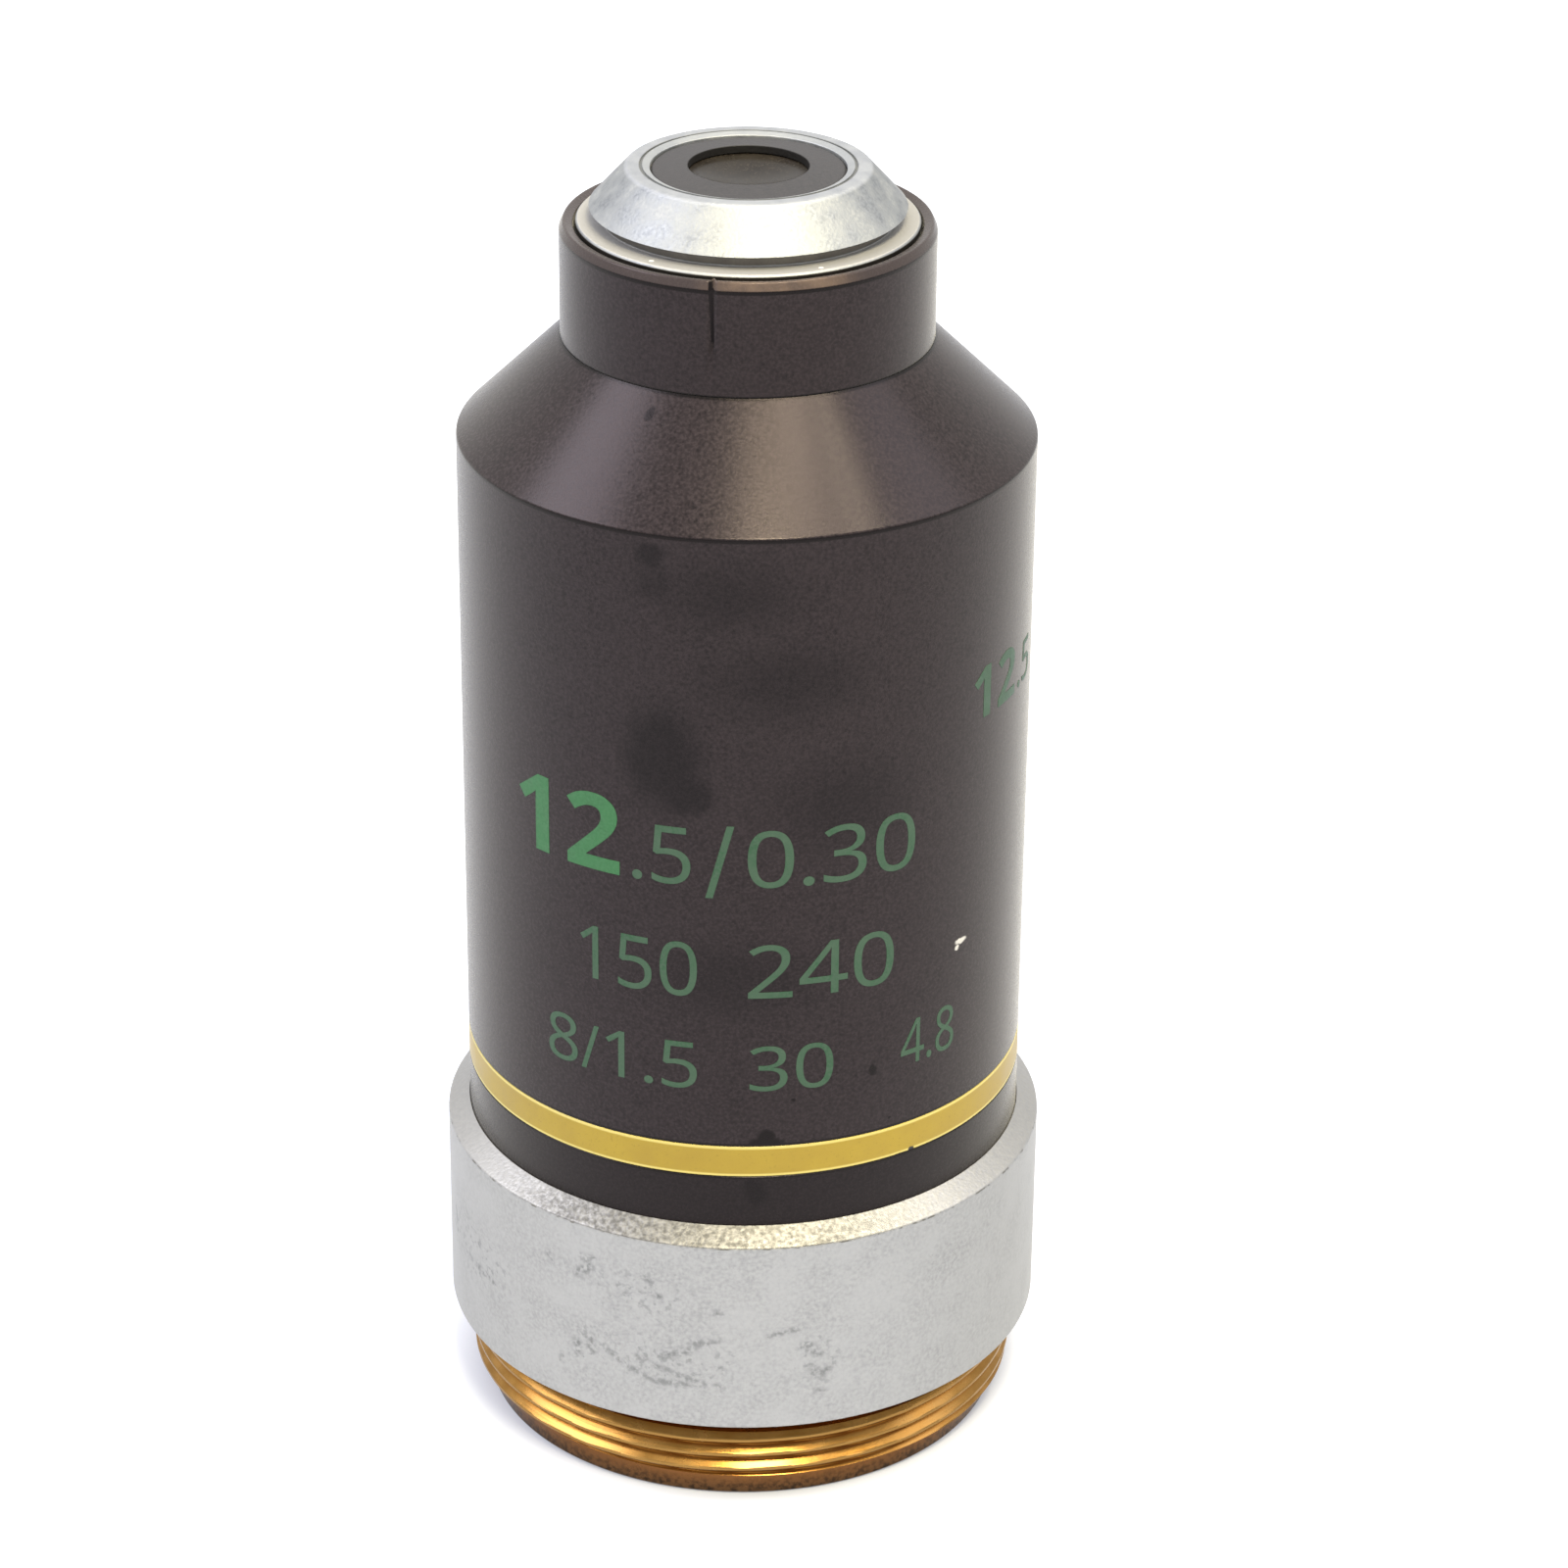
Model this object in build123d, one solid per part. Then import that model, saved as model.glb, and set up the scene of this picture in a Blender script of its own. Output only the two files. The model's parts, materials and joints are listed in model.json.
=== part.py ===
from build123d import *
import math
import os

# Microscope objective, infinity corrected, low power, for phase contrast.
# The nose points up, along +Z, and the origin is the centre of the mounting
# shoulder, the plane that meets the nosepiece and sets the focus distance.
# Lengths are in millimetres, radii are measured from the optical axis, and
# levels are heights above the shoulder.

# Clearances and edges
thread_gap = 0.04  # radial, between a thread and its nut
slide_gap = 0.03  # radial, between a cell or land and its bore
lens_gap = 0.03  # radial, round a glass element
end_gap = 0.2  # axial, at the free end of a piece that seats elsewhere
edge_break = 0.1  # chamfer on turned edges
overrun = 1.0  # how far a cutting tool passes the metal
mid_share = 0.5  # where an arc's middle point lies between axis and rim

# Mount thread, 25 mm across, and the plain ends beside it
thread_radius = 12.5
thread_pitch = 0.75
thread_chamfer_share = 0.16  # short chamfer at both ends of the thread, for each millimetre of pitch
thread_length = 2.3
relief_width = 1.0
relief_depth = 0.6
pilot_length = 1.27
pilot_drop = 0.7

# Outer barrel, turned to the thread's own diameter
barrel_radius = thread_radius
barrel_wall = 1.26
barrel_bore_step = 0.34
barrel_height = 42.3
cone_height = 4.4
cone_wall = 2.2

# Mount body inside the collar
spigot_height = 9.0
spigot_wall = 1.7
recess_step = 0.3

# Mount collar
collar_step = 1.0
collar_side = 9.28
collar_bevel = 0.65
collar_floor = 4.0
land_gap = 0.15  # radial, between the thread's crests and the shoulder's land
land_step = 0.1  # how far the underside inside the land is sunk

# Colour band
band_level = 12.34
band_width = 1.52
band_depth = 0.2

# Front sleeve
sleeve_side = 4.65
sleeve_wall = 0.95
sleeve_rim_width = 0.6
sleeve_rim_rise = 0.25

# Nose cap, sized from its bore for the front lens outwards
cap_bore = 4.15
flange_gap = 0.1
flange_stand = 0.2
flange_thickness = 0.8
flange_ledge = 0.55
undercut_height = 0.54
undercut_depth = 0.55
cap_cone_height = 1.76
cap_cone_width = 1.6
cap_rim_width = 1.0
cap_lip_width = 0.3
cap_lip_drop = 0.1
cap_groove_inset = 0.38
cap_groove_width = 0.12
cap_groove_depth = 0.07
cap_spigot_length = 3.4
cap_spigot_wall = 1.05

# Front lens and its cell
face_recess = 0.02
face_crown = 0.14  # rise of the cell's face from its edge to the glass
face_lip = 0.33
face_lip_width = 1.0
front_cell_wall = 0.57
front_cell_flange = 1.1
front_lens_bowl_curve = 7.0
front_lens_bowl_margin = 0.8
front_lens_back_curve = 5.5
front_lens_edge = 2.0
front_ring_width = 0.65
front_ring_length = 1.2

# Lens tube
neck_wall = 1.0
neck_seat_land = 1.7
neck_seat_width = 0.7
neck_train_wall = 1.4
tube_wall = 1.46
tube_flange_thickness = 2.0
tube_spigot_length = 5.1
tube_land_length = 4.2
shim_thickness = 0.3

# Front cemented pair, flint towards the nose
front_pair_wall = 0.92
front_flint_curve = 40.0
front_bond_curve = 7.5
front_crown_curve = 9.0
front_flint_centre = 1.0
front_crown_edge = 0.9
front_group_ring_length = 1.3
front_group_ring_width = 0.9

# Rear cemented pair, crown towards the nose
rear_pair_wall = 1.7
rear_crown_curve = 18.0
rear_bond_curve = 11.0
rear_flint_curve = 30.0
rear_crown_edge = 1.0
rear_flint_centre = 1.1

# What both lens cells share
seat_lip = 0.7
seat_lip_width = 0.5
rolled_lip_width = 0.25
cell_tail = 0.8
group_step = 0.6

# Phase plate
plate_thickness = 2.0
plate_lip = 0.7
plate_lip_width = 0.6
plate_cell_wall = 1.6
plate_ring_length = 1.1
plate_ring_width = 0.6
centring_play = 0.3
annulus_radius = 2.2
annulus_width = 0.5
annulus_depth = 0.06

# Spacers, rings and the rear stop
train_spacer_wall = 1.2
spacer_groove_count = 8
spacer_groove_depth = 0.4
rear_spacer_length = 3.4
rear_spacer_wall = 1.5
train_ring_setback = 1.1
train_ring_length = 2.2
train_ring_width = 2.3
baffle_thickness = 2.3
baffle_width = 4.06
baffle_rim_width = 1.1
baffle_lip = 0.5
slot_width = 1.0
slot_depth = 0.6

# Centring screws
screw_radius = 0.8
screw_count = 3
screw_slot_width = 0.3
screw_slot_depth = 0.4

# Radii of the mount and the barrel, worked inwards from the thread
collar_radius = barrel_radius + collar_step
land_radius = thread_radius + land_gap
spigot_radius = barrel_radius - barrel_wall - thread_gap
relief_radius = thread_radius - relief_depth
pilot_radius = thread_radius - pilot_drop
mount_bore = spigot_radius - spigot_wall
recess_radius = mount_bore + recess_step
thread_chamfer = thread_pitch * thread_chamfer_share
barrel_lower_bore = barrel_radius - barrel_wall
barrel_bore = barrel_lower_bore - barrel_bore_step

# Radii of the nose, worked outwards from the front lens
cap_top_radius = cap_bore + cap_rim_width
cap_radius = cap_top_radius + cap_cone_width
flange_radius = cap_radius + flange_ledge
sleeve_mouth = flange_radius + flange_gap
sleeve_radius = sleeve_mouth + sleeve_rim_width
sleeve_bore = sleeve_radius - sleeve_wall
cone_width = barrel_radius - sleeve_radius
undercut_radius = cap_radius - undercut_depth
cap_groove_radius = cap_bore + cap_groove_inset
front_cell_radius = cap_bore - slide_gap
front_pocket = front_cell_radius - front_cell_wall
front_lens_radius = front_pocket - lens_gap
front_aperture = front_pocket - face_lip_width
front_bowl_radius = front_lens_radius - front_lens_bowl_margin
front_ring_bore = front_lens_radius - front_ring_width

# Radii of the tube's neck and what it holds
neck_radius = sleeve_bore - thread_gap
neck_mouth = neck_radius - neck_wall
neck_train_bore = neck_radius - neck_train_wall
neck_seat_bore = neck_train_bore - neck_seat_width
cap_spigot_radius = neck_mouth - thread_gap
cap_spigot_bore = cap_spigot_radius - cap_spigot_wall
front_pair_cell_radius = neck_train_bore - slide_gap
front_pair_radius = front_pair_cell_radius - front_pair_wall - lens_gap

# Radii of the tube's body and what it holds
tube_spigot_radius = mount_bore - thread_gap
tube_bore = tube_spigot_radius - tube_wall
tube_land_radius = barrel_bore - slide_gap
train_radius = tube_bore - slide_gap
rear_pair_radius = train_radius - rear_pair_wall - lens_gap
plate_cell_radius = train_radius - centring_play
plate_radius = plate_cell_radius - plate_cell_wall - lens_gap


def sag(curve, height):
    """How far a sphere drops from its vertex to a height: positive for a dome, negative for a bowl."""
    return math.copysign(abs(curve) - math.sqrt(curve**2 - height**2), curve)


# Levels of the outside, worked up from the shoulder
thread_top = -relief_width
thread_base = thread_top - thread_length
mount_base = thread_base - pilot_length
collar_top = collar_side + collar_bevel
sleeve_level = barrel_height + cone_height
sleeve_rim = sleeve_level + sleeve_side
sleeve_mouth_level = sleeve_rim + sleeve_rim_rise
flange_top = sleeve_mouth_level + flange_stand
flange_base = flange_top - flange_thickness
cap_base = flange_top + undercut_height
cap_top = cap_base + cap_cone_height

# Levels of the front lens, worked down from the nose
face_level = cap_top - face_recess
face_edge_level = face_level - face_crown
front_lens_top = face_level - face_lip
front_lens_rim = front_lens_top - front_lens_edge
front_lens_vertex = front_lens_rim - sag(front_lens_back_curve, front_lens_radius)
front_ring_top = front_lens_vertex + sag(front_lens_back_curve, front_ring_bore)
front_ring_base = front_ring_top - front_ring_length
cap_spigot_end = flange_base - cap_spigot_length
front_cell_seat = front_ring_base
front_cell_base = front_cell_seat - front_cell_flange

# Levels of the front pair in the tube's neck
neck_mouth_floor = cap_spigot_end - end_gap
neck_seat = neck_mouth_floor - neck_seat_land
front_flint_edge = (
    front_flint_centre
    + sag(front_bond_curve, front_pair_radius)
    - sag(-front_flint_curve, front_pair_radius)
)
front_flint_rim = neck_seat - seat_lip
front_bond_rim = front_flint_rim - front_flint_edge
front_crown_rim = front_bond_rim - front_crown_edge
front_crown_vertex = front_crown_rim - sag(front_crown_curve, front_pair_radius)
front_pair_cell_base = front_crown_vertex - cell_tail
front_group_ring_base = front_pair_cell_base - front_group_ring_length

# Levels of the rear pair in the tube's main bore
tube_shoulder = front_group_ring_base - group_step
rear_crown_top_rim = (
    tube_shoulder
    - seat_lip
    + sag(rear_crown_curve, rear_pair_radius - seat_lip_width)
    - sag(rear_crown_curve, rear_pair_radius)
)
rear_bond_rim = rear_crown_top_rim - rear_crown_edge
rear_flint_edge = (
    rear_flint_centre
    + sag(-rear_flint_curve, rear_pair_radius)
    - sag(-rear_bond_curve, rear_pair_radius)
)
rear_flint_rim = rear_bond_rim - rear_flint_edge
rear_flint_vertex = rear_flint_rim - sag(rear_flint_curve, rear_pair_radius)
rear_pair_cell_base = rear_flint_vertex - cell_tail

# Levels of the rear end, worked up from the mount
shim_base = spigot_height
tube_flange_base = shim_base + shim_thickness
tube_flange_top = tube_flange_base + tube_flange_thickness
tube_end = tube_flange_base - tube_spigot_length
barrel_step_level = tube_flange_top + end_gap
train_ring_base = tube_flange_base + train_ring_setback
train_ring_top = train_ring_base + train_ring_length
plate_cell_base = train_ring_top + rear_spacer_length
plate_base = plate_cell_base + plate_ring_length
plate_top = plate_base + plate_thickness
plate_cell_top = plate_top + plate_lip
screw_level = plate_base + plate_thickness * mid_share
baffle_base = tube_end - baffle_thickness
recess_top = baffle_base - end_gap


def cone_level(radius):
    """Level of the barrel's conical shoulder, or of its line carried on, at a radius."""
    return barrel_height + (barrel_radius - radius) * cone_height / cone_width


barrel_bore_top = cone_level(barrel_bore) - cone_wall
barrel_hole_base = cone_level(sleeve_bore) - cone_wall
tube_land_top = barrel_bore_top - end_gap
tube_land_base = tube_land_top - tube_land_length


def turned(points):
    """Turn a closed outline of (radius, level) corners about the optical axis."""
    with BuildPart() as part:
        with BuildSketch(Plane.XZ):
            with BuildLine():
                Polyline(*points, close=True)
            make_face()
        revolve(axis=Axis.Z)
    return part.part


def ring(inner, outer, base, top):
    """Plain turned ring with broken outer edges."""
    return turned(
        [
            (inner, base),
            (outer - edge_break, base),
            (outer, base + edge_break),
            (outer, top - edge_break),
            (outer - edge_break, top),
            (inner, top),
        ]
    )


def slotted(body, outer, base):
    """Cut the spanner slots across a ring's rear face."""
    slot = Box(
        2 * (outer + overrun),
        slot_width,
        slot_depth + overrun,
        align=(Align.CENTER, Align.CENTER, Align.MAX),
    )
    return body - Pos(0, 0, base + slot_depth) * slot


def lens(top_rim, top_curve, bottom_rim, bottom_curve, radius):
    """Glass element between two spheres; a dome has a positive curve and a bowl a negative one."""
    top = top_rim + sag(top_curve, radius)
    bottom = bottom_rim + sag(bottom_curve, radius)
    middle = radius * mid_share
    with BuildPart() as part:
        with BuildSketch(Plane.XZ):
            with BuildLine():
                ThreePointArc((0, top), (middle, top - sag(top_curve, middle)), (radius, top_rim))
                Line((radius, top_rim), (radius, bottom_rim))
                ThreePointArc(
                    (radius, bottom_rim), (middle, bottom - sag(bottom_curve, middle)), (0, bottom)
                )
                Line((0, bottom), (0, top))
            make_face()
        revolve(axis=Axis.Z)
    return part.part


def lens_cell(top, base, outer, pocket, pocket_top, lip_radius, lip_level):
    """Cell that takes a glass from the rear, where a thin lip is rolled over the glass's edge."""
    seat_bore = pocket - seat_lip_width - lens_gap
    return turned(
        [
            (seat_bore, top),
            (outer - edge_break, top),
            (outer, top - edge_break),
            (outer, base + edge_break),
            (outer - edge_break, base),
            (pocket, base),
            (lip_radius, lip_level),
            (pocket, lip_level),
            (pocket, pocket_top),
            (seat_bore, pocket_top),
        ]
    )


def mount_body():
    """Brass ring: rear recess, pilot, thread, relief groove and the spigot inside the collar."""
    return turned(
        [
            (recess_radius + edge_break, mount_base),
            (pilot_radius - edge_break, mount_base),
            (pilot_radius, mount_base + edge_break),
            (pilot_radius, thread_base),
            (thread_radius - thread_chamfer, thread_base),
            (thread_radius, thread_base + thread_chamfer),
            (thread_radius, thread_top - thread_chamfer),
            (thread_radius - thread_chamfer, thread_top),
            (relief_radius, thread_top),
            (relief_radius, land_step),
            (spigot_radius, land_step),
            (spigot_radius, spigot_height),
            (mount_bore, spigot_height),
            (mount_bore, recess_top),
            (recess_radius, recess_top),
            (recess_radius, mount_base + edge_break),
        ]
    )


def mount_collar():
    """Satin collar: the shoulder below, a counterbore for the barrel, one bevel on top."""
    return turned(
        [
            (spigot_radius + slide_gap, land_step),
            (land_radius, land_step),
            (land_radius, 0),
            (collar_radius - edge_break, 0),
            (collar_radius, edge_break),
            (collar_radius, collar_side),
            (barrel_radius + slide_gap, collar_top),
            (barrel_radius + slide_gap, collar_floor),
            (spigot_radius + slide_gap, collar_floor),
        ]
    )


def outer_barrel():
    """Black tube: colour band groove outside, conical shoulder with a hole for the neck."""
    band_floor = barrel_radius - band_depth
    band_top = band_level + band_width
    return turned(
        [
            (barrel_lower_bore, collar_floor),
            (barrel_radius - edge_break, collar_floor),
            (barrel_radius, collar_floor + edge_break),
            (barrel_radius, band_level),
            (band_floor, band_level),
            (band_floor, band_top),
            (barrel_radius, band_top),
            (barrel_radius, barrel_height),
            (sleeve_radius, sleeve_level),
            (sleeve_bore, sleeve_level),
            (sleeve_bore, barrel_hole_base),
            (barrel_bore, barrel_bore_top),
            (barrel_bore, barrel_step_level),
            (barrel_lower_bore, barrel_step_level),
        ]
    )


def colour_band():
    """Enamel filled flush into the barrel's groove."""
    band_floor = barrel_radius - band_depth
    band_top = band_level + band_width
    return turned(
        [
            (band_floor, band_level),
            (barrel_radius, band_level),
            (barrel_radius, band_top),
            (band_floor, band_top),
        ]
    )


def front_sleeve():
    """Black sleeve on the neck, with a sloped rim round the nose cap's flange."""
    return turned(
        [
            (sleeve_bore, sleeve_level),
            (sleeve_radius - edge_break, sleeve_level),
            (sleeve_radius, sleeve_level + edge_break),
            (sleeve_radius, sleeve_rim),
            (sleeve_mouth, sleeve_mouth_level),
            (sleeve_mouth, flange_base),
            (sleeve_bore, flange_base),
        ]
    )


def nose_cap():
    """Bright cap: sloped lip and groove in the face, cone, undercut, flange and the threaded spigot."""
    groove_in = cap_groove_radius - cap_groove_width * mid_share
    groove_out = cap_groove_radius + cap_groove_width * mid_share
    return turned(
        [
            (cap_bore, cap_top - cap_lip_drop),
            (cap_bore + cap_lip_width, cap_top),
            (groove_in, cap_top),
            (groove_in, cap_top - cap_groove_depth),
            (groove_out, cap_top - cap_groove_depth),
            (groove_out, cap_top),
            (cap_top_radius, cap_top),
            (cap_radius, cap_base),
            (undercut_radius, cap_base),
            (undercut_radius, flange_top),
            (flange_radius - edge_break, flange_top),
            (flange_radius, flange_top - edge_break),
            (flange_radius, flange_base),
            (cap_spigot_radius, flange_base),
            (cap_spigot_radius, cap_spigot_end),
            (cap_spigot_bore, cap_spigot_end),
            (cap_spigot_bore, front_cell_seat),
            (cap_bore, front_cell_seat),
        ]
    )


def front_lens_cell():
    """Black cell: the low cone of its face round the glass, the pocket and a rear flange."""
    flange = cap_spigot_bore - thread_gap
    return turned(
        [
            (front_aperture, face_level),
            (front_cell_radius - edge_break, face_edge_level),
            (front_cell_radius, face_edge_level - edge_break),
            (front_cell_radius, front_cell_seat),
            (flange, front_cell_seat),
            (flange, front_cell_base),
            (front_pocket, front_cell_base),
            (front_pocket, front_lens_top),
            (front_aperture, front_lens_top),
        ]
    )


def front_lens():
    """Front element: a bowl ground into its flat face, and a strongly domed back."""
    bowl = front_lens_top - sag(front_lens_bowl_curve, front_bowl_radius)
    bowl_middle = front_bowl_radius * mid_share
    back_middle = front_lens_radius * mid_share
    with BuildPart() as part:
        with BuildSketch(Plane.XZ):
            with BuildLine():
                ThreePointArc(
                    (0, bowl),
                    (bowl_middle, bowl + sag(front_lens_bowl_curve, bowl_middle)),
                    (front_bowl_radius, front_lens_top),
                )
                Line((front_bowl_radius, front_lens_top), (front_lens_radius, front_lens_top))
                Line((front_lens_radius, front_lens_top), (front_lens_radius, front_lens_rim))
                ThreePointArc(
                    (front_lens_radius, front_lens_rim),
                    (back_middle, front_lens_vertex + sag(front_lens_back_curve, back_middle)),
                    (0, front_lens_vertex),
                )
                Line((0, front_lens_vertex), (0, bowl))
            make_face()
        revolve(axis=Axis.Z)
    return part.part


def front_lens_ring():
    """Slotted ring whose inner edge bears on the front lens's domed back."""
    outer = front_pocket - thread_gap
    body = ring(front_ring_bore, outer, front_ring_base, front_ring_top)
    return slotted(body, outer, front_ring_base)


def lens_tube():
    """Brass tube for the whole train: spigot, flange, body, land and neck, with the screw holes."""
    body = turned(
        [
            (tube_bore, tube_end),
            (tube_spigot_radius, tube_end),
            (tube_spigot_radius, tube_flange_base),
            (tube_land_radius, tube_flange_base),
            (tube_land_radius, tube_flange_top),
            (tube_spigot_radius, tube_flange_top),
            (tube_spigot_radius, tube_land_base),
            (tube_land_radius, tube_land_base),
            (tube_land_radius, tube_land_top),
            (neck_radius, tube_land_top),
            (neck_radius, flange_base),
            (neck_mouth, flange_base),
            (neck_mouth, neck_mouth_floor),
            (neck_seat_bore, neck_mouth_floor),
            (neck_seat_bore, neck_seat),
            (neck_train_bore, neck_seat),
            (neck_train_bore, tube_shoulder),
            (tube_bore, tube_shoulder),
        ]
    )
    with BuildPart() as holes:
        with Locations((0, 0, screw_level)):
            with PolarLocations(0, screw_count):
                Cylinder(
                    screw_radius + thread_gap,
                    tube_spigot_radius + overrun,
                    rotation=(0, 90, 0),
                    align=(Align.CENTER, Align.CENTER, Align.MIN),
                )
    return body - holes.part


def parfocal_shim():
    """Thin washer on the spigot's end; its thickness sets the focus height."""
    return turned(
        [
            (mount_bore, shim_base),
            (spigot_radius, shim_base),
            (spigot_radius, tube_flange_base),
            (mount_bore, tube_flange_base),
        ]
    )


def front_doublet_flint():
    """Flint of the front pair, hollow on both sides."""
    return lens(front_flint_rim, -front_flint_curve, front_bond_rim, front_bond_curve, front_pair_radius)


def front_doublet_crown():
    """Crown of the front pair, cemented into the flint's hollow side."""
    return lens(front_bond_rim, front_bond_curve, front_crown_rim, -front_crown_curve, front_pair_radius)


def front_doublet_cell():
    """Cell of the front pair, seated in the neck."""
    lip_radius = front_pair_radius - rolled_lip_width
    lip_level = front_crown_vertex + sag(front_crown_curve, lip_radius)
    return lens_cell(
        neck_seat,
        front_pair_cell_base,
        front_pair_cell_radius,
        front_pair_radius + lens_gap,
        front_flint_rim,
        lip_radius,
        lip_level,
    )


def front_group_ring():
    """Slotted ring that clamps the front pair's cell in the neck."""
    outer = neck_train_bore - thread_gap
    body = ring(outer - front_group_ring_width, outer, front_group_ring_base, front_pair_cell_base)
    return slotted(body, outer, front_group_ring_base)


def rear_doublet_crown():
    """Crown of the rear pair, domed on both sides."""
    return lens(rear_crown_top_rim, rear_crown_curve, rear_bond_rim, -rear_bond_curve, rear_pair_radius)


def rear_doublet_flint():
    """Flint of the rear pair: the crown sits in its bowl."""
    return lens(rear_bond_rim, -rear_bond_curve, rear_flint_rim, -rear_flint_curve, rear_pair_radius)


def rear_doublet_cell():
    """Cell of the rear pair, against the shoulder of the tube's main bore."""
    lip_radius = rear_pair_radius - rolled_lip_width
    lip_level = rear_flint_vertex + sag(rear_flint_curve, lip_radius)
    return lens_cell(
        tube_shoulder,
        rear_pair_cell_base,
        train_radius,
        rear_pair_radius + lens_gap,
        tube_shoulder - seat_lip,
        lip_radius,
        lip_level,
    )


def train_spacer():
    """Long spacer between rear pair and phase plate, grooved inside against stray light."""
    bore = train_radius - train_spacer_wall
    pitch = (rear_pair_cell_base - plate_cell_top) / spacer_groove_count
    points = [(train_radius, plate_cell_top), (train_radius, rear_pair_cell_base)]
    for index in range(spacer_groove_count):
        level = rear_pair_cell_base - pitch * index
        points.append((bore, level))
        points.append((bore + spacer_groove_depth, level - pitch * mid_share))
    points.append((bore, plate_cell_top))
    return turned(points)


def phase_plate():
    """Glass plate with the phase annulus sunk into its front face."""
    inner = annulus_radius - annulus_width * mid_share
    outer = annulus_radius + annulus_width * mid_share
    return turned(
        [
            (0, plate_base),
            (plate_radius, plate_base),
            (plate_radius, plate_top),
            (outer, plate_top),
            (outer, plate_top - annulus_depth),
            (inner, plate_top - annulus_depth),
            (inner, plate_top),
            (0, plate_top),
        ]
    )


def phase_plate_cell():
    """Cell of the phase plate, slim enough to be shifted in the bore."""
    pocket = plate_radius + lens_gap
    return turned(
        [
            (pocket, plate_cell_base),
            (plate_cell_radius, plate_cell_base),
            (plate_cell_radius, plate_cell_top),
            (pocket - plate_lip_width, plate_cell_top),
            (pocket - plate_lip_width, plate_top),
            (pocket, plate_top),
        ]
    )


def phase_plate_ring():
    """Slotted ring that holds the phase plate in its cell."""
    outer = plate_radius + lens_gap - thread_gap
    body = ring(outer - plate_ring_width, outer, plate_cell_base, plate_base)
    return slotted(body, outer, plate_cell_base)


def centring_screws():
    """Set screws through the tube's wall, their tips on the phase plate's cell."""
    length = tube_spigot_radius - plate_cell_radius - end_gap
    slot = Box(
        2 * (screw_radius + overrun),
        screw_slot_width,
        screw_slot_depth + overrun,
        align=(Align.CENTER, Align.CENTER, Align.MIN),
    )
    screw = Cylinder(screw_radius, length, align=(Align.CENTER, Align.CENTER, Align.MIN))
    screw = screw - Pos(0, 0, length - screw_slot_depth) * slot
    placed = []
    for index in range(screw_count):
        turn = Rot(0, 0, 360 * index / screw_count)
        placed.append(turn * Pos(plate_cell_radius, 0, screw_level) * Rot(0, 90, 0) * screw)
    return Compound(children=placed)


def rear_spacer():
    """Spacer between the phase plate's cell and the clamping ring."""
    return ring(train_radius - rear_spacer_wall, train_radius, train_ring_top, plate_cell_base)


def train_ring():
    """Slotted ring that clamps the stack of cells in the lens tube."""
    outer = tube_bore - thread_gap
    body = ring(outer - train_ring_width, outer, train_ring_base, train_ring_top)
    return slotted(body, outer, train_ring_base)


def rear_baffle():
    """Black funnel screwed up against the lens tube's end, the stop seen from the rear."""
    outer = mount_bore - thread_gap
    hole = outer - baffle_width
    body = turned(
        [
            (hole, tube_end),
            (outer, tube_end),
            (outer, baffle_base),
            (outer - baffle_rim_width, baffle_base),
            (hole, tube_end - baffle_lip),
        ]
    )
    return slotted(body, outer, baffle_base)


pieces = [
    mount_body,
    mount_collar,
    outer_barrel,
    colour_band,
    front_sleeve,
    nose_cap,
    front_lens_cell,
    front_lens,
    front_lens_ring,
    lens_tube,
    parfocal_shim,
    front_doublet_flint,
    front_doublet_crown,
    front_doublet_cell,
    front_group_ring,
    rear_doublet_crown,
    rear_doublet_flint,
    rear_doublet_cell,
    train_spacer,
    phase_plate,
    phase_plate_cell,
    phase_plate_ring,
    centring_screws,
    rear_spacer,
    train_ring,
    rear_baffle,
]

os.makedirs("parts", exist_ok=True)
for piece in pieces:
    export_step(piece(), f"parts/{piece.__name__}.step")
    print("wrote", piece.__name__)
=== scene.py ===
# %% [markdown]
# # A microscope objective, dressed for its portrait
# The exact solids of the objective come first, as a fixed frame that is never changed.
# Everything after that is looks: finely turned copies of the pieces that can be seen, a
# cut thread, printed figures, and one material for each finish. Sizes are in millimetres
# here, and become metres in one place, because that is what Blender works in.

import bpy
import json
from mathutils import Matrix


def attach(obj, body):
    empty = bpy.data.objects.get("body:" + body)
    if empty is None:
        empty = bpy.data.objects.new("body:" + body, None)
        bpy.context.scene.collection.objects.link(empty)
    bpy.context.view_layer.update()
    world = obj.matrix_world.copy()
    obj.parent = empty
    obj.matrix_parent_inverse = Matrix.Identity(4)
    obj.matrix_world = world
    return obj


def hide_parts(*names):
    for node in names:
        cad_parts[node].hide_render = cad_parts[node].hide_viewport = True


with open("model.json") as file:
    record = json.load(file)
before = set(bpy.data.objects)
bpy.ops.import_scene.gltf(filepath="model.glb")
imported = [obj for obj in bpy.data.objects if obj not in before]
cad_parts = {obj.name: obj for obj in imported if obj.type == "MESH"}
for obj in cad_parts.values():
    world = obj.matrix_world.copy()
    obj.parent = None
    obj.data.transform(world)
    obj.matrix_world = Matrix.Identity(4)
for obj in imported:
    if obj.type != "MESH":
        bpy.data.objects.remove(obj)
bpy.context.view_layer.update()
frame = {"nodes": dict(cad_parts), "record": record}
print("CAD nodes:", len(frame["nodes"]))

# %% Modules, the one unit and objects
import json
import math

import bmesh
import bpy
from mathutils import Matrix, Vector

MM = 0.001


def new_object(name, data):
    """Object in the scene that shows this camera, lamp or mesh."""
    thing = bpy.data.objects.new(name, data)
    bpy.context.scene.collection.objects.link(thing)
    return thing


print("one millimetre is", MM, "of Blender's units")

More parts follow.
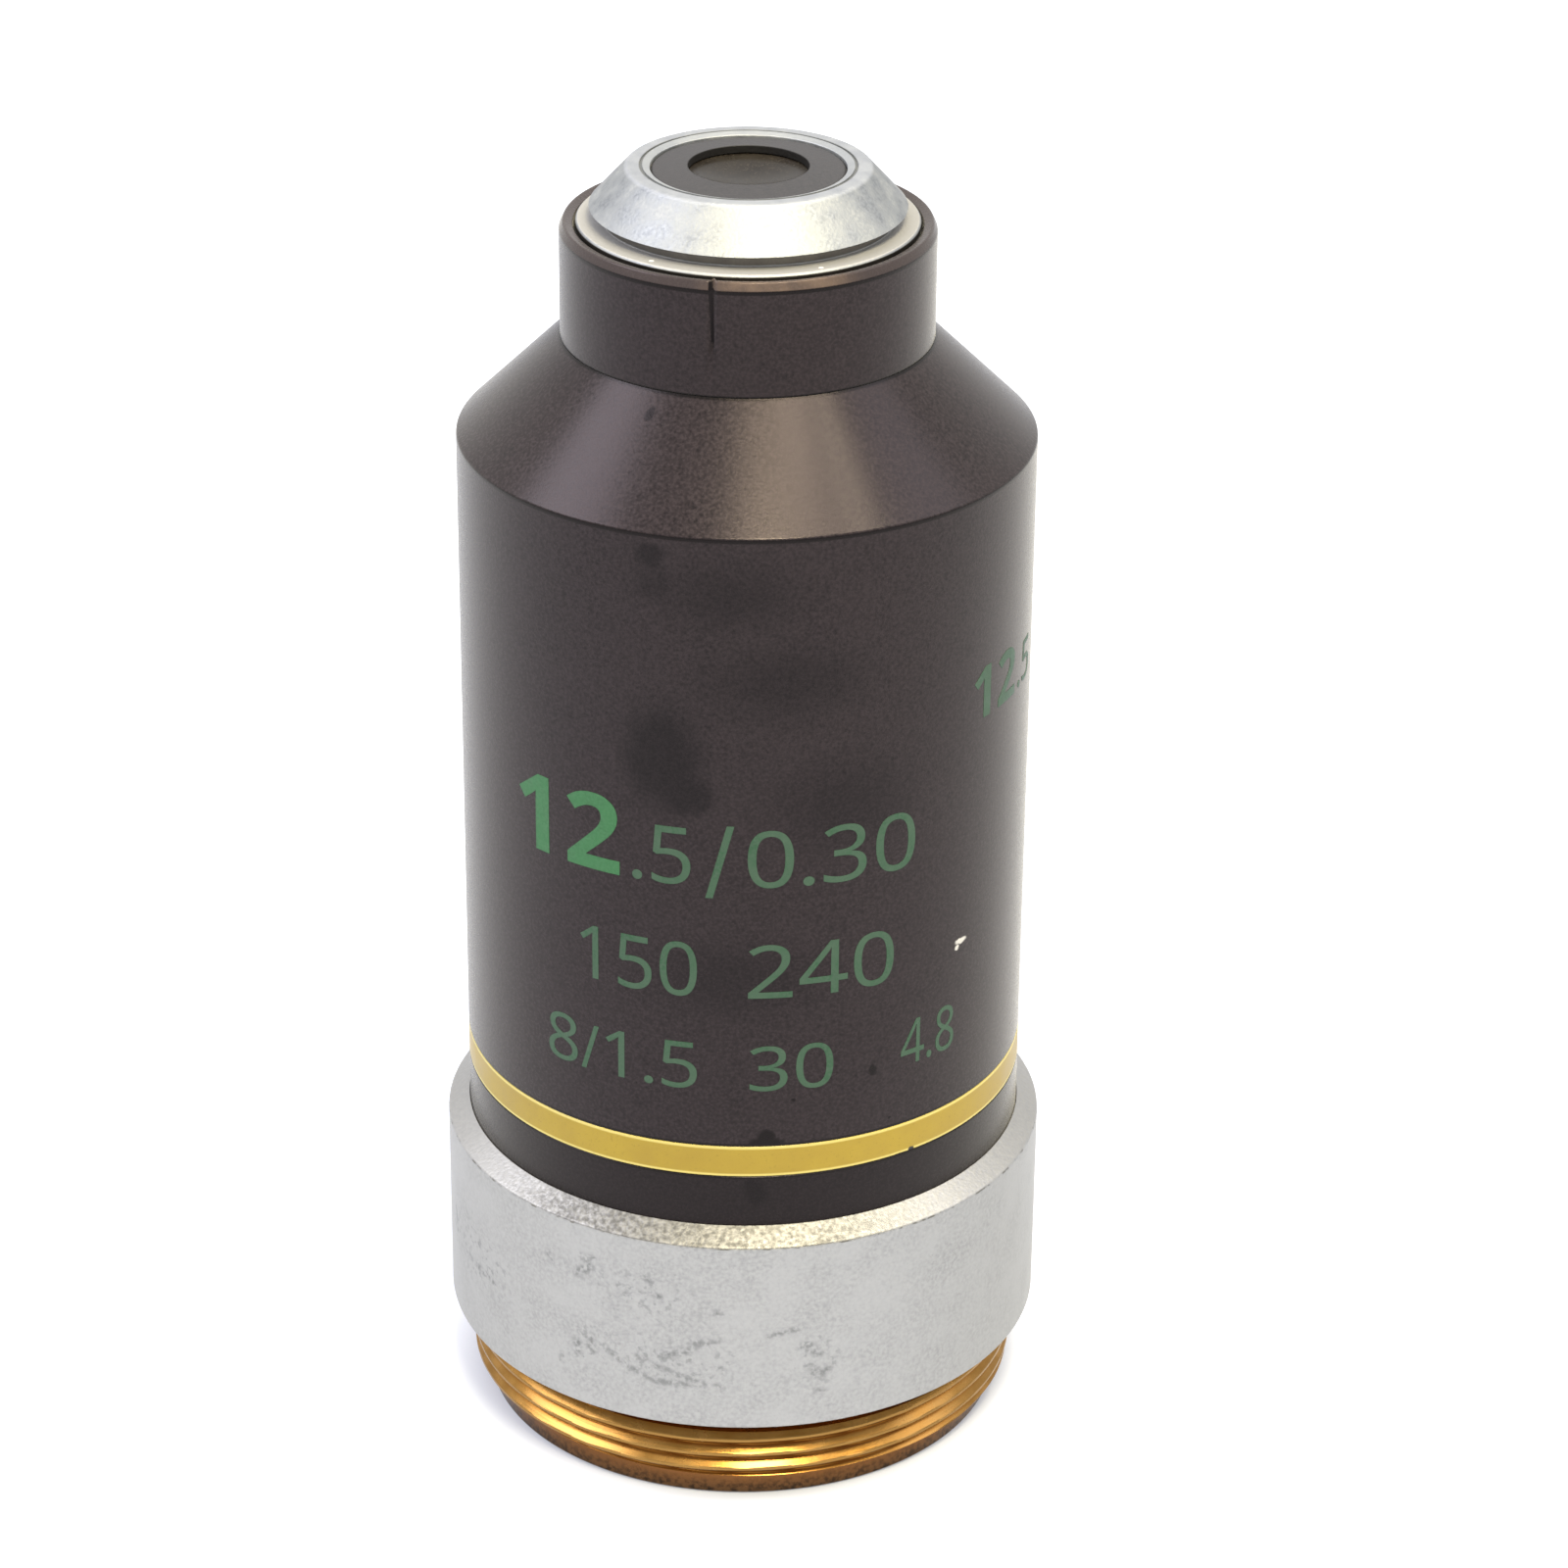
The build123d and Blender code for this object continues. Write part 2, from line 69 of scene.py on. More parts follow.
# %% [markdown]
# ## Where the camera stands
# The photograph looks down on the nose from some 20 cm away, with a long lens. A camera
# was fitted to the circles and outlines of the object, so its place, turn and focal
# length are measured. The image is square, and its centre is the lens's axis.

# %% Camera
IMAGE_WIDTH = 1600.0
FOCAL_PIXELS = 4920.21
SENSOR_WIDTH = 36.0
CAMERA_PLACE = Vector((0.0, -193.0487, 119.1904))
CAMERA_YAW = 0.0089757
CAMERA_PITCH = 0.452977
CAMERA_ROLL = 0.0097233
CAMERA_NEAR = 0.01
CAMERA_FAR = 20.0

camera_data = bpy.data.cameras.new("camera")
camera_data.sensor_width = SENSOR_WIDTH
camera_data.lens = SENSOR_WIDTH * FOCAL_PIXELS / IMAGE_WIDTH
camera_data.clip_start = CAMERA_NEAR
camera_data.clip_end = CAMERA_FAR
camera = new_object("camera", camera_data)
camera.matrix_world = (
    Matrix.Translation(CAMERA_PLACE * MM)
    @ Matrix.Rotation(-CAMERA_YAW, 4, "Z")
    @ Matrix.Rotation(math.pi / 2 - CAMERA_PITCH, 4, "X")
    @ Matrix.Rotation(CAMERA_ROLL, 4, "Z")
)
bpy.context.scene.camera = camera
bpy.context.scene.view_settings.view_transform = "Standard"
print("focal length", round(camera_data.lens, 2), "mm")

# %% [markdown]
# ## One function that adds a node
# Materials, the world and Geometry Nodes are all trees of nodes. Each node needs the same
# three things: its settings, its values, and its links. A node given as a value is linked
# from its first output, so a tree reads like a chain of steps. Three short forms of it do
# arithmetic on numbers, arithmetic on places, and slopes from one value to another.


# %% Nodes and colours
def add(tree, kind, inputs=None, **settings):
    """Add a node: its settings, then each input by name or number, a value or a link."""
    node = tree.nodes.new(kind)
    for name, value in settings.items():
        setattr(node, name, value)
    for key, value in (inputs or {}).items():
        usable = [socket for socket in node.inputs if socket.enabled]
        if isinstance(key, int):
            socket = usable[key]
        else:
            socket = next(one for one in usable if one.name == key)
        if isinstance(value, bpy.types.Node):
            value = next(one for one in value.outputs if one.enabled)
        if isinstance(value, bpy.types.NodeSocket):
            tree.links.new(value, socket)
        else:
            socket.default_value = value
    return node


def maths(tree, operation, *values):
    """One step of arithmetic on numbers."""
    return add(tree, "ShaderNodeMath", dict(enumerate(values)), operation=operation)


def vectors(tree, operation, *values):
    """One step of arithmetic on places or directions."""
    return add(tree, "ShaderNodeVectorMath", dict(enumerate(values)), operation=operation)


def ramp(tree, value, start, end, low=0.0, high=1.0, curve="LINEAR"):
    """Low where a value is at its start, high at its end, and a slope in between."""
    ends = {"Value": value, "From Min": start, "From Max": end, "To Min": low, "To Max": high}
    return add(tree, "ShaderNodeMapRange", ends, interpolation_type=curve)


def colour(code):
    """Linear colour of an sRGB hex code such as #3a3436."""
    parts = [int(code[at : at + 2], 16) / 255 for at in (1, 3, 5)]
    linear = [p / 12.92 if p <= 0.04045 else ((p + 0.055) / 1.055) ** 2.4 for p in parts]
    return (*linear, 1.0)


print("mid grey is", round(colour("#808080")[0], 3), "linear")

# %% [markdown]
# ## Floor and daylight
# The object stands on its thread end on a white table in a white room. The world shows
# plain white to the camera, to mirrors and to glass, and only the soft light that it
# gives to matt surfaces is kept at a plain level. The floor is matt paper with a little
# glow. The glow is lowest at the foot and grows with the distance, so that the far floor
# is white. That painted shade round the foot, on top of the shadow that the paper keeps,
# makes a faint rim of shade where the thread meets the table.

# %% Floor and world
FLOOR_SIZE = 3000.0
FLOOR_LEVEL = -4.57
FLOOR_GLOW = 0.45
FLOOR_PAINT = "#bcc1d0"
FOOT_SHADE_GLOW, NEAR_GLOW, FAR_GLOW = 0.2, 0.66, 0.9
FOOT_REACH, NEAR_REACH, FAR_REACH = 12.3, 14.8, 150.0
DAYLIGHT = 0.55


def seen(tree):
    """One where a ray comes from the camera, a mirror or a glass, and nought elsewhere."""
    path = add(tree, "ShaderNodeLightPath").outputs
    mirror = maths(tree, "MAXIMUM", path["Is Camera Ray"], path["Is Glossy Ray"])
    return maths(tree, "MAXIMUM", mirror, path["Is Transmission Ray"])


floor_mesh = bpy.data.meshes.new("floor")
half = FLOOR_SIZE * MM / 2
corners = [(-half, -half), (half, -half), (half, half), (-half, half)]
floor_mesh.from_pydata([(x, y, FLOOR_LEVEL * MM) for x, y in corners], [], [(0, 1, 2, 3)])
floor = new_object("floor", floor_mesh)

floor_material = bpy.data.materials.new("white_table")
floor_material.use_nodes = True
tree = floor_material.node_tree
tree.nodes.clear()
glow = maths(tree, "MULTIPLY", seen(tree), FLOOR_GLOW)
spot = add(tree, "ShaderNodeTexCoord").outputs["Object"]
reach = vectors(tree, "LENGTH", spot).outputs["Value"]
# Painted shade: the glow is lowered near the foot, so a ring of shade is painted on the floor
# round it.
painted_foot_shade, near_more = FOOT_SHADE_GLOW - FLOOR_GLOW, NEAR_GLOW - FLOOR_GLOW
painted_shade_ramp = ramp(tree, reach, FOOT_REACH * MM, NEAR_REACH * MM, painted_foot_shade, near_more)
far_slope = ramp(tree, reach, NEAR_REACH * MM, FAR_REACH * MM, 0.0, FAR_GLOW - NEAR_GLOW)
more = maths(tree, "ADD", painted_shade_ramp, far_slope)
camera_ray = add(tree, "ShaderNodeLightPath").outputs["Is Camera Ray"]
glow = maths(tree, "MULTIPLY_ADD", more, camera_ray, glow)
matt = add(tree, "ShaderNodeBsdfDiffuse", {"Color": colour(FLOOR_PAINT)})
light = add(tree, "ShaderNodeEmission", {"Color": colour("#ffffff"), "Strength": glow})
lit_paper = add(tree, "ShaderNodeAddShader", {0: matt, 1: light})
add(tree, "ShaderNodeOutputMaterial", {"Surface": lit_paper})
floor_mesh.materials.append(floor_material)

world = bpy.data.worlds.new("white_room")
world.use_nodes = True
tree = world.node_tree
tree.nodes.clear()
strength = ramp(tree, seen(tree), 0.0, 1.0, DAYLIGHT, 1.0)
background = add(tree, "ShaderNodeBackground", {"Color": colour("#ffffff"), "Strength": strength})
add(tree, "ShaderNodeOutputWorld", {"Surface": background})
bpy.context.scene.world = world
print("floor at", FLOOR_LEVEL, "mm")

# %% [markdown]
# ## Lamps
# Each lamp is where the object shows its reflection. The black cone, the bright cap and
# the brass all have two warm glints, right of the middle, so two small lamps hang over
# the camera's shoulder inside the glow of a wide ceiling panel. A third, weaker lamp
# between them joins their glints on the cone, as in the photograph. The cone's two bluish
# sides show a window on the left and one on the right. All of them look at the object's
# middle and are soft, because they are panels of a real size, not points.

# %% Lamps
LAMP_AIM = Vector((0, 0, 25))
lamps = [
    ("ceiling_panel", (95, -120, 425), (290, 240), 0.36, "#fff6dc"),
    ("near_lamp", (40, -214, 388), (110, 70), 1.6, "#fff2c8"),
    ("middle_lamp", (117, -98, 445), (90, 80), 0.6, "#fff2d0"),
    ("far_lamp", (200, -92, 384), (45, 60), 0.24, "#fff5d2"),
    ("left_window", (-430, -20, 440), (330, 240), 2.0, "#f6f5ff"),
    ("right_window", (420, 20, 440), (240, 240), 0.45, "#f6f5ff"),
]
for name, place, size, watts, tint in lamps:
    data = bpy.data.lights.new(name, "AREA")
    data.shape = "RECTANGLE"
    data.size, data.size_y = size[0] * MM, size[1] * MM
    data.energy = watts
    data.color = colour(tint)[:3]
    lamp = new_object(name, data)
    away = (Vector(place) - LAMP_AIM).to_track_quat("Z", "Y").to_matrix().to_4x4()
    lamp.matrix_world = Matrix.Translation(Vector(place) * MM) @ away
print("lamps:", [lamp[0] for lamp in lamps])

# %% [markdown]
# ## Turning on the lathe
# Nearly every piece of an objective is turned: one outline, spun round the optical axis.
# The exact solids have sharp corners, and real ones never do. So each outline is drawn
# again with a small rounding at its corners, which catches a thin line of light. Angles
# are counted from the front, which faces the camera, and grow to the right.


# %% Lathe
TURN_STEPS = 256
ROUNDING_STEPS = 3
SHARP_ANGLE = math.radians(32)
HOLD_SHARE = 1.5
LONGEST_SHARE = 0.32
WELD = MM * 1e-4


def rounded(outline):
    """Give each corner (radius, level, rounding) its arc, and points that hold the flats."""
    points = []
    for index, (radius, level, rounding) in enumerate(outline):
        corner = Vector((radius, level))
        before = Vector(outline[index - 1][:2]) - corner
        after = Vector(outline[(index + 1) % len(outline)][:2]) - corner
        if not rounding:
            points.append(corner)
            continue
        start = min(rounding, before.length * LONGEST_SHARE)
        end = min(rounding, after.length * LONGEST_SHARE)
        a = corner + before.normalized() * start
        b = corner + after.normalized() * end
        points.append(corner + before.normalized() * start * HOLD_SHARE)
        for step in range(ROUNDING_STEPS + 1):
            t = step / ROUNDING_STEPS
            points.append(a * (1 - t) ** 2 + corner * 2 * t * (1 - t) + b * t**2)
        points.append(corner + after.normalized() * end * HOLD_SHARE)
    return points


def on_axis(radius, angle, level):
    """Place in metres of a point at a radius, an angle from the front and a level."""
    return Vector((radius * math.sin(angle), -radius * math.cos(angle), level)) * MM


def place_mesh(name, mesh, material):
    """Object at the origin, with smooth faces and its true edges kept sharp."""
    for face in mesh.polygons:
        face.use_smooth = True
    mesh.set_sharp_from_angle(angle=SHARP_ANGLE)
    mesh.materials.clear()
    mesh.materials.append(material)
    return new_object(name, mesh)


def fill(mesh, shape):
    """Put a shape into a mesh, with its faces turned outwards."""
    bmesh.ops.recalc_face_normals(shape, faces=shape.faces)
    shape.to_mesh(mesh)
    shape.free()


def lathe(name, outline, material, fine_turns=()):
    """Turn a closed outline about the optical axis, with finer steps at a few angles."""
    step_angle = 2 * math.pi / TURN_STEPS
    turns = [index * step_angle - math.pi for index in range(TURN_STEPS)]
    for fine in fine_turns:
        turns = [one for one in turns if abs(one - fine) > step_angle / 2]
    turns = sorted([*turns, *fine_turns])
    points = rounded(outline)
    shape = bmesh.new()
    rows = []
    for angle in turns:
        rows.append([shape.verts.new(on_axis(radius, angle, level)) for radius, level in points])
    for index, row in enumerate(rows):
        ahead = rows[(index + 1) % len(rows)]
        for at, point in enumerate(points):
            after = (at + 1) % len(points)
            if point.x or points[after].x:
                shape.faces.new((row[at], row[after], ahead[after], ahead[at]))
    bmesh.ops.remove_doubles(shape, verts=shape.verts, dist=WELD)
    mesh = bpy.data.meshes.new(name)
    fill(mesh, shape)
    return place_mesh(name, mesh, material)


def dress(piece, node):
    """Hang a piece on the root, hide the solid it stands for, and print its faces."""
    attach(piece, "root")
    if node:
        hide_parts(node)
    print(piece.name, len(piece.data.polygons), "faces")


print("one step of the lathe is", round(360 / TURN_STEPS, 2), "degrees")

# %% [markdown]
# ## Starting a finish
# A finish is a tree that ends in one shader. What is the same all over is set on the
# shader itself. What varies comes in three steps: a mask says where, colours are laid
# over one another where their masks are one, and a fine grain gives the gloss its break
# and the surface its relief. Masks are worked out in millimetres on the object.


# %% Finish, paint and grain
def finish(name, **constants):
    """Start a material: its tree, its shader and the place on the object in millimetres."""
    material = bpy.data.materials.new(name)
    material.use_nodes = True
    tree = material.node_tree
    tree.nodes.clear()
    shader = add(tree, "ShaderNodeBsdfPrincipled")
    for key, value in constants.items():
        shader.inputs[key.replace("_", " ")].default_value = value
    add(tree, "ShaderNodeOutputMaterial", {"Surface": shader})
    metres = add(tree, "ShaderNodeTexCoord").outputs["Object"]
    return material, tree, shader, vectors(tree, "MULTIPLY", metres, (1 / MM, 1 / MM, 1 / MM))


def from_axis(tree, place):
    """Distance from the optical axis in millimetres."""
    flat = vectors(tree, "MULTIPLY", place, (1, 1, 0))
    return vectors(tree, "LENGTH", flat).outputs["Value"]


def blotches(tree, place, size, low, high, detail=3.0):
    """Noise of a real size in millimetres, spread from nought to one between two levels."""
    noise = add(tree, "ShaderNodeTexNoise", {"Vector": place, "Scale": 1 / size, "Detail": detail})
    return ramp(tree, noise, low, high)


def fading(tree, value, near, far, curve="LINEAR"):
    """One while a value is below near, and nought above far."""
    return ramp(tree, value, near, far, 1.0, 0.0, curve)


def around(tree, value, middle, half_width, soft):
    """One while a value is within half_width of a middle, and nought a soft edge further."""
    apart = maths(tree, "ABSOLUTE", maths(tree, "SUBTRACT", value, middle))
    return fading(tree, apart, half_width, half_width + soft)


def both(tree, mask, other):
    """One where two masks are, or a mask at a share of its strength."""
    return maths(tree, "MULTIPLY", mask, other)


def paint(tree, shader, base, layers):
    """Lay colours over a base colour, each where its mask is one."""
    skin = colour(base)
    for mask, code in layers:
        mixed = {"Factor": mask, "A": skin, "B": colour(code)}
        skin = add(tree, "ShaderNodeMix", mixed, data_type="RGBA")
    tree.links.new(skin.outputs[2], shader.inputs["Base Color"])


def texture(tree, shader, mask, smooth, rough, height, depth):
    """Roughness between two values after one mask, and a relief of millimetres after another."""
    gloss = ramp(tree, mask, 0.0, 1.0, smooth, rough)
    tree.links.new(gloss.outputs[0], shader.inputs["Roughness"])
    bump = {"Height": height, "Distance": depth * MM, "Strength": 1.0}
    relief = add(tree, "ShaderNodeBump", bump)
    tree.links.new(relief.outputs["Normal"], shader.inputs["Normal"])


print("a grain of 0.2 mm is noise of scale", 1 / 0.2)

# %% [markdown]
# ## Where marks sit on a turned surface
# Dirt and wear are placed by the angle round the axis and the level up it, as a label
# would be. The surface is unrolled: one length runs round it and the other up it, and a
# little noise bends the place so that no mark has a drawn edge. A stripe is simpler: it
# runs all the way round at one level, as dirt in a joint does. Every mask is one inside
# and nought outside.


# %% Unrolled places, marks and stripes
DOT_CORE = 0.7


def unrolled(tree, place, radius, ragged, grain):
    """The radius, and X round it and Y up it, moved by ragged millimetres of noise."""
    parts = add(tree, "ShaderNodeSeparateXYZ", {0: place})
    front = maths(tree, "MULTIPLY", parts.outputs["Y"], -1.0)
    angle = maths(tree, "ARCTAN2", parts.outputs["X"], front)
    arc = maths(tree, "MULTIPLY", angle, radius)
    flat = add(tree, "ShaderNodeCombineXYZ", {"X": arc, "Y": parts.outputs["Z"]})
    noise = add(tree, "ShaderNodeTexNoise", {"Vector": place, "Scale": 1 / grain, "Detail": 3.0})
    middle = vectors(tree, "SUBTRACT", noise.outputs["Color"], (0.5, 0.5, 0.5))
    shift = vectors(tree, "MULTIPLY", middle, (2 * ragged, 2 * ragged, 0))
    return radius, vectors(tree, "ADD", flat, shift)


def marks(tree, surface, spots, soft):
    """One inside ellipses of (angle, level, half width, half height)."""
    radius, flat = surface
    total = 0.0
    for angle, level, half_width, half_height in spots:
        away = vectors(tree, "SUBTRACT", flat, (math.radians(angle) * radius, level, 0))
        share = vectors(tree, "MULTIPLY", away, (1 / half_width, 1 / half_height, 0))
        reach = vectors(tree, "LENGTH", share).outputs["Value"]
        spot = fading(tree, reach, 1 - soft, 1 + soft, "SMOOTHSTEP")
        total = maths(tree, "MAXIMUM", total, spot)
    return total


def strokes(tree, surface, lines, half_width, soft):
    """One within half_width of straight lines from (angle, level) to (angle, level)."""
    radius, flat = surface
    total = 0.0
    for start_angle, start_level, end_angle, end_level in lines:
        start = Vector((math.radians(start_angle) * radius, start_level, 0))
        run = Vector((math.radians(end_angle) * radius, end_level, 0)) - start
        away = vectors(tree, "SUBTRACT", flat, start)
        share = vectors(tree, "DOT_PRODUCT", away, run / run.length_squared).outputs["Value"]
        share = add(tree, "ShaderNodeClamp", {"Value": share})
        reached = add(tree, "ShaderNodeVectorMath", {0: run, "Scale": share}, operation="SCALE")
        off = vectors(tree, "DISTANCE", away, reached).outputs["Value"]
        line = fading(tree, off, half_width * (1 - soft), half_width * (1 + soft), "SMOOTHSTEP")
        total = maths(tree, "MAXIMUM", total, line)
    return total


def dots(tree, place, points, size):
    """One inside small balls at (radius, angle, level)."""
    total = 0.0
    for radius, angle, level in points:
        centre = on_axis(radius, math.radians(angle), level) / MM
        off = vectors(tree, "DISTANCE", place, centre).outputs["Value"]
        dot = fading(tree, off, size * DOT_CORE, size)
        total = maths(tree, "MAXIMUM", total, dot)
    return total


def stripe(tree, place, level, half_width, soft):
    """One round the whole piece within half_width of a level."""
    height = add(tree, "ShaderNodeSeparateXYZ", {0: place}).outputs["Z"]
    return around(tree, height, level, half_width, soft)


print("one degree at a radius of 10 mm is", round(math.radians(1) * 10, 3), "mm")

# %% [markdown]
# ## Black anodised aluminium
# The barrel is aluminium with a dyed oxide skin. It is nearly black with a purple cast,
# satin, and mottled where the dye took unevenly. At grazing angles it turns pale: the
# clear skin mirrors more there, and the fine blasted surface catches light like dust. So
# it is a dark body under a weak clear skin with a little sheen, not a metal. The real
# grain of about 0.05 mm wouldn't show, so it is drawn three times as coarse. Oily
# fingerprints, a few black dots and one chip lie where the photograph has them. The strip
# below the colour band is painted darker, a painted shade between band and collar. The
# sloped rim is painted paler, a painted reflection of the cap, and paler brown at its
# front, a painted reflection of the warm lamps. Dark lines are painted along the joints
# and edges, and the one in the crease under the sleeve is painted shade.

# %% Barrel finish
BARREL_RADIUS = 12.5
BARREL_TOP = 42.3
BAND_BASE = 12.34
BAND_TOP = 13.86
SLEEVE_LEVEL = 46.7
SLEEVE_RIM = 51.35
CREST_LEVEL = 51.72
RIM_MIDDLE = (SLEEVE_RIM + CREST_LEVEL) / 2
RIM_HALF = (CREST_LEVEL - SLEEVE_RIM) / 2
BELOW_BAND = 11.1
BARREL_GRAIN = 0.15
FAINT_SHARE = 0.65
GRAIN_OVER_MARKS = 0.3
BELOW_BAND_SHADE = 0.6
LEAST_GLINT = 0.45

black_anodised, tree, shader, place = finish(
    "black_anodised_aluminium",
    IOR=1.45,
    Specular_IOR_Level=0.22,
    Specular_Tint=colour("#ffeff4"),
    Sheen_Weight=0.2,
    Sheen_Roughness=0.4,
    Sheen_Tint=colour("#fbfaf8"),
)
oily_places = [
    (-16.3, 32.3, 1.6, 2.3),
    (-12.0, 30.7, 1.2, 0.9),
    (-18.6, 41.4, 0.6, 0.5),
    (2.4, 11.6, 0.5, 0.6),
]
faint_places = [
    (-3.0, 39.7, 2.4, 1.3),
    (-17.5, 40.1, 0.95, 0.8),
    (8.0, 35.8, 3.0, 1.4),
    (20.0, 30.0, 2.6, 1.8),
    (-2.0, 22.0, 3.4, 1.5),
]
dot_places = [
    (4.4, 13.95, 0.8, 0.34),
    (4.6, 14.3, 0.4, 0.4),
    (-27.2, 45.95, 0.3, 0.24),
    (26.5, 16.95, 0.2, 0.26),
    (9.8, 16.1, 0.1, 0.07),
    (30.5, 14.4, 0.07, 0.07),
]
chip_places = [(48.5, 21.75, 0.34, 0.14), (47.4, 21.5, 0.14, 0.1)]
# A paler brown patch on the front of the rim: a painted reflection of the warm lamps.
rim_glint_places = [(10.0, RIM_MIDDLE, 4.4, 1.5)]
scratch_lines = [(-11.3, 51.6, -10.9, 50.6), (-10.9, 50.6, -10.5, 49.1)]
# Dark lines round the barrel: dirt in the band's two joints and under the rim's corner, a dark
# line along the edge where the wall turns into the cone, and painted shade in the crease where the
# cone meets the sleeve.
joint_and_shade_lines = [
    (BARREL_TOP - 0.09, 0.05, 0.06),
    (BAND_TOP + 0.06, 0.03, 0.05),
    (BAND_BASE - 0.06, 0.03, 0.05),
    (SLEEVE_LEVEL, 0.05, 0.06),
    (SLEEVE_RIM - 0.08, 0.06, 0.05),
]

smeared = unrolled(tree, place, BARREL_RADIUS, ragged=0.5, grain=0.9)
crisp = unrolled(tree, place, BARREL_RADIUS, ragged=0.14, grain=0.3)
smooth = unrolled(tree, place, BARREL_RADIUS, ragged=0.04, grain=0.5)
grain = blotches(tree, place, BARREL_GRAIN, 0.28, 0.72, 3.0)
cloud = blotches(tree, place, 2.6, 0.34, 0.66, 4.0)
patch = blotches(tree, place, 0.7, 0.36, 0.64, 3.0)
oily = marks(tree, smeared, oily_places, soft=0.5)
faint = marks(tree, smeared, faint_places, soft=0.8)
# The sloped rim of the sleeve is painted paler: a painted reflection of the cap in it.
rim = stripe(tree, place, RIM_MIDDLE, RIM_HALF, soft=0.02)
painted_rim_glint = both(tree, marks(tree, smeared, rim_glint_places, soft=0.4), rim)
uneven = ramp(tree, patch, 0.0, 1.0, LEAST_GLINT, 1.0)
# Painted shade: the strip between the colour band and the collar is painted darker.
shade_below_band = stripe(tree, place, BELOW_BAND, half_width=1.1, soft=0.15)
layers = [
    (cloud, "#1b181a"),
    (patch, "#1a1719"),
    (grain, "#302a2e"),
    (oily, "#060608"),
    (both(tree, faint, FAINT_SHARE), "#060608"),
    (both(tree, grain, GRAIN_OVER_MARKS), "#302a2e"),
    (both(tree, shade_below_band, BELOW_BAND_SHADE), "#060506"),
    (rim, "#3b3537"),
    (both(tree, painted_rim_glint, uneven), "#63554d"),
    (marks(tree, crisp, dot_places, soft=0.3), "#040303"),
    (strokes(tree, smooth, scratch_lines, half_width=0.11, soft=0.4), "#040303"),
    *((stripe(tree, place, *dark_line), "#060505") for dark_line in joint_and_shade_lines),
    (marks(tree, crisp, chip_places, soft=0.3), "#d8d6d2"),
]
paint(tree, shader, "#0e0c0e", layers)
texture(tree, shader, grain, smooth=0.2, rough=0.32, height=grain, depth=0.002)
print(black_anodised.name, len(tree.nodes), "nodes")

# %% [markdown]
# ## The barrel
# The barrel is one turned tube: a straight wall with a shallow groove for the colour
# band, a cone at the top, and a bore that the lens tube slides into. A cylinder and a
# cone joined by hand would leave a seam, so it is one outline on the lathe. Its corners
# are broken by less than a tenth of a millimetre, as a turner leaves them.

# %% Barrel
BARREL_BASE = 4.0
BAND_FLOOR = 12.3
BARREL_BORE = 10.9
BORE_STEP = 11.5
BORE_CONE_BASE = 41.664
BORE_CONE_TOP = 45.429
LOWER_BORE = 11.24
SLEEVE_RADIUS = 8.0
SLEEVE_BORE = 7.05

barrel_outline = [
    (LOWER_BORE, BARREL_BASE, 0),
    (BARREL_RADIUS, BARREL_BASE, 0.08),
    (BARREL_RADIUS, BAND_BASE, 0.04),
    (BAND_FLOOR, BAND_BASE, 0),
    (BAND_FLOOR, BAND_TOP, 0),
    (BARREL_RADIUS, BAND_TOP, 0.04),
    (BARREL_RADIUS, BARREL_TOP, 0.07),
    (SLEEVE_RADIUS, SLEEVE_LEVEL, 0),
    (SLEEVE_BORE, SLEEVE_LEVEL, 0),
    (SLEEVE_BORE, BORE_CONE_TOP, 0),
    (BARREL_BORE, BORE_CONE_BASE, 0),
    (BARREL_BORE, BORE_STEP, 0),
    (LOWER_BORE, BORE_STEP, 0),
]
dress(lathe("barrel", barrel_outline, black_anodised), "outer_barrel")

# %% [markdown]
# ## The colour band
# The band is thick yellow enamel, run into the groove. It is nearly smooth and a touch
# uneven in tone, and a pale line is painted along each of its two edges: a painted
# highlight where the rounded edge catches the light. One nick in the lower edge is in the
# photograph.

# %% Band
EDGE_INSET = 0.09
BAND_GAP = 0.02

yellow_enamel, tree, shader, place = finish("yellow_enamel", IOR=1.5)
nick_places = [(36.1, 12.38, 0.16, 0.16), (33.6, 12.34, 0.36, 0.07)]
crisp = unrolled(tree, place, BARREL_RADIUS, ragged=0.06, grain=0.2)
cloud = blotches(tree, place, 1.6, 0.3, 0.7, 4.0)
fleck = blotches(tree, place, 0.12, 0.6, 0.75, 2.0)
layers = [(cloud, "#ae9429"), (fleck, "#9c8321")]
# Painted highlight: a pale line along each edge of the band.
for level in (BAND_TOP - EDGE_INSET, BAND_BASE + EDGE_INSET):
    layers.append((stripe(tree, place, level, half_width=0.03, soft=0.06), "#dccb74"))
layers.append((marks(tree, crisp, nick_places, soft=0.25), "#141112"))
paint(tree, shader, "#a58a23", layers)
texture(tree, shader, cloud, smooth=0.3, rough=0.42, height=cloud, depth=0.006)

band_outline = [
    (BAND_FLOOR, BAND_BASE + BAND_GAP, 0),
    (BARREL_RADIUS, BAND_BASE + BAND_GAP, 0.05),
    (BARREL_RADIUS, BAND_TOP - BAND_GAP, 0.05),
    (BAND_FLOOR, BAND_TOP - BAND_GAP, 0),
]
dress(lathe("band", band_outline, yellow_enamel), "colour_band")

# %% [markdown]
# ## The front sleeve
# The sleeve is a short black ring on the tube's neck, with a sloped rim round the bright
# cap. The rim's crest is drawn 0.3 mm above the slope of the solid, because its outline in
# the photograph asks for it. One scratch runs down from the rim. Dark paint alone wouldn't
# show on black, so the scratch is cut: the lathe takes three fine steps there, and the
# middle one is pushed in.

# %% Sleeve
SLEEVE_MOUTH = 7.4
MOUTH_LEVEL = 51.6
CREST_RADIUS = 7.82
FLANGE_BASE = 51.0
SCRATCH_ANGLE = math.radians(-10.6)
SCRATCH_HALF = math.radians(0.95)
SCRATCH_FOOT = 48.9
SCRATCH_RUN_OUT = 0.3
SCRATCH_DEPTH = 0.3
LEVEL_SLACK = 0.001

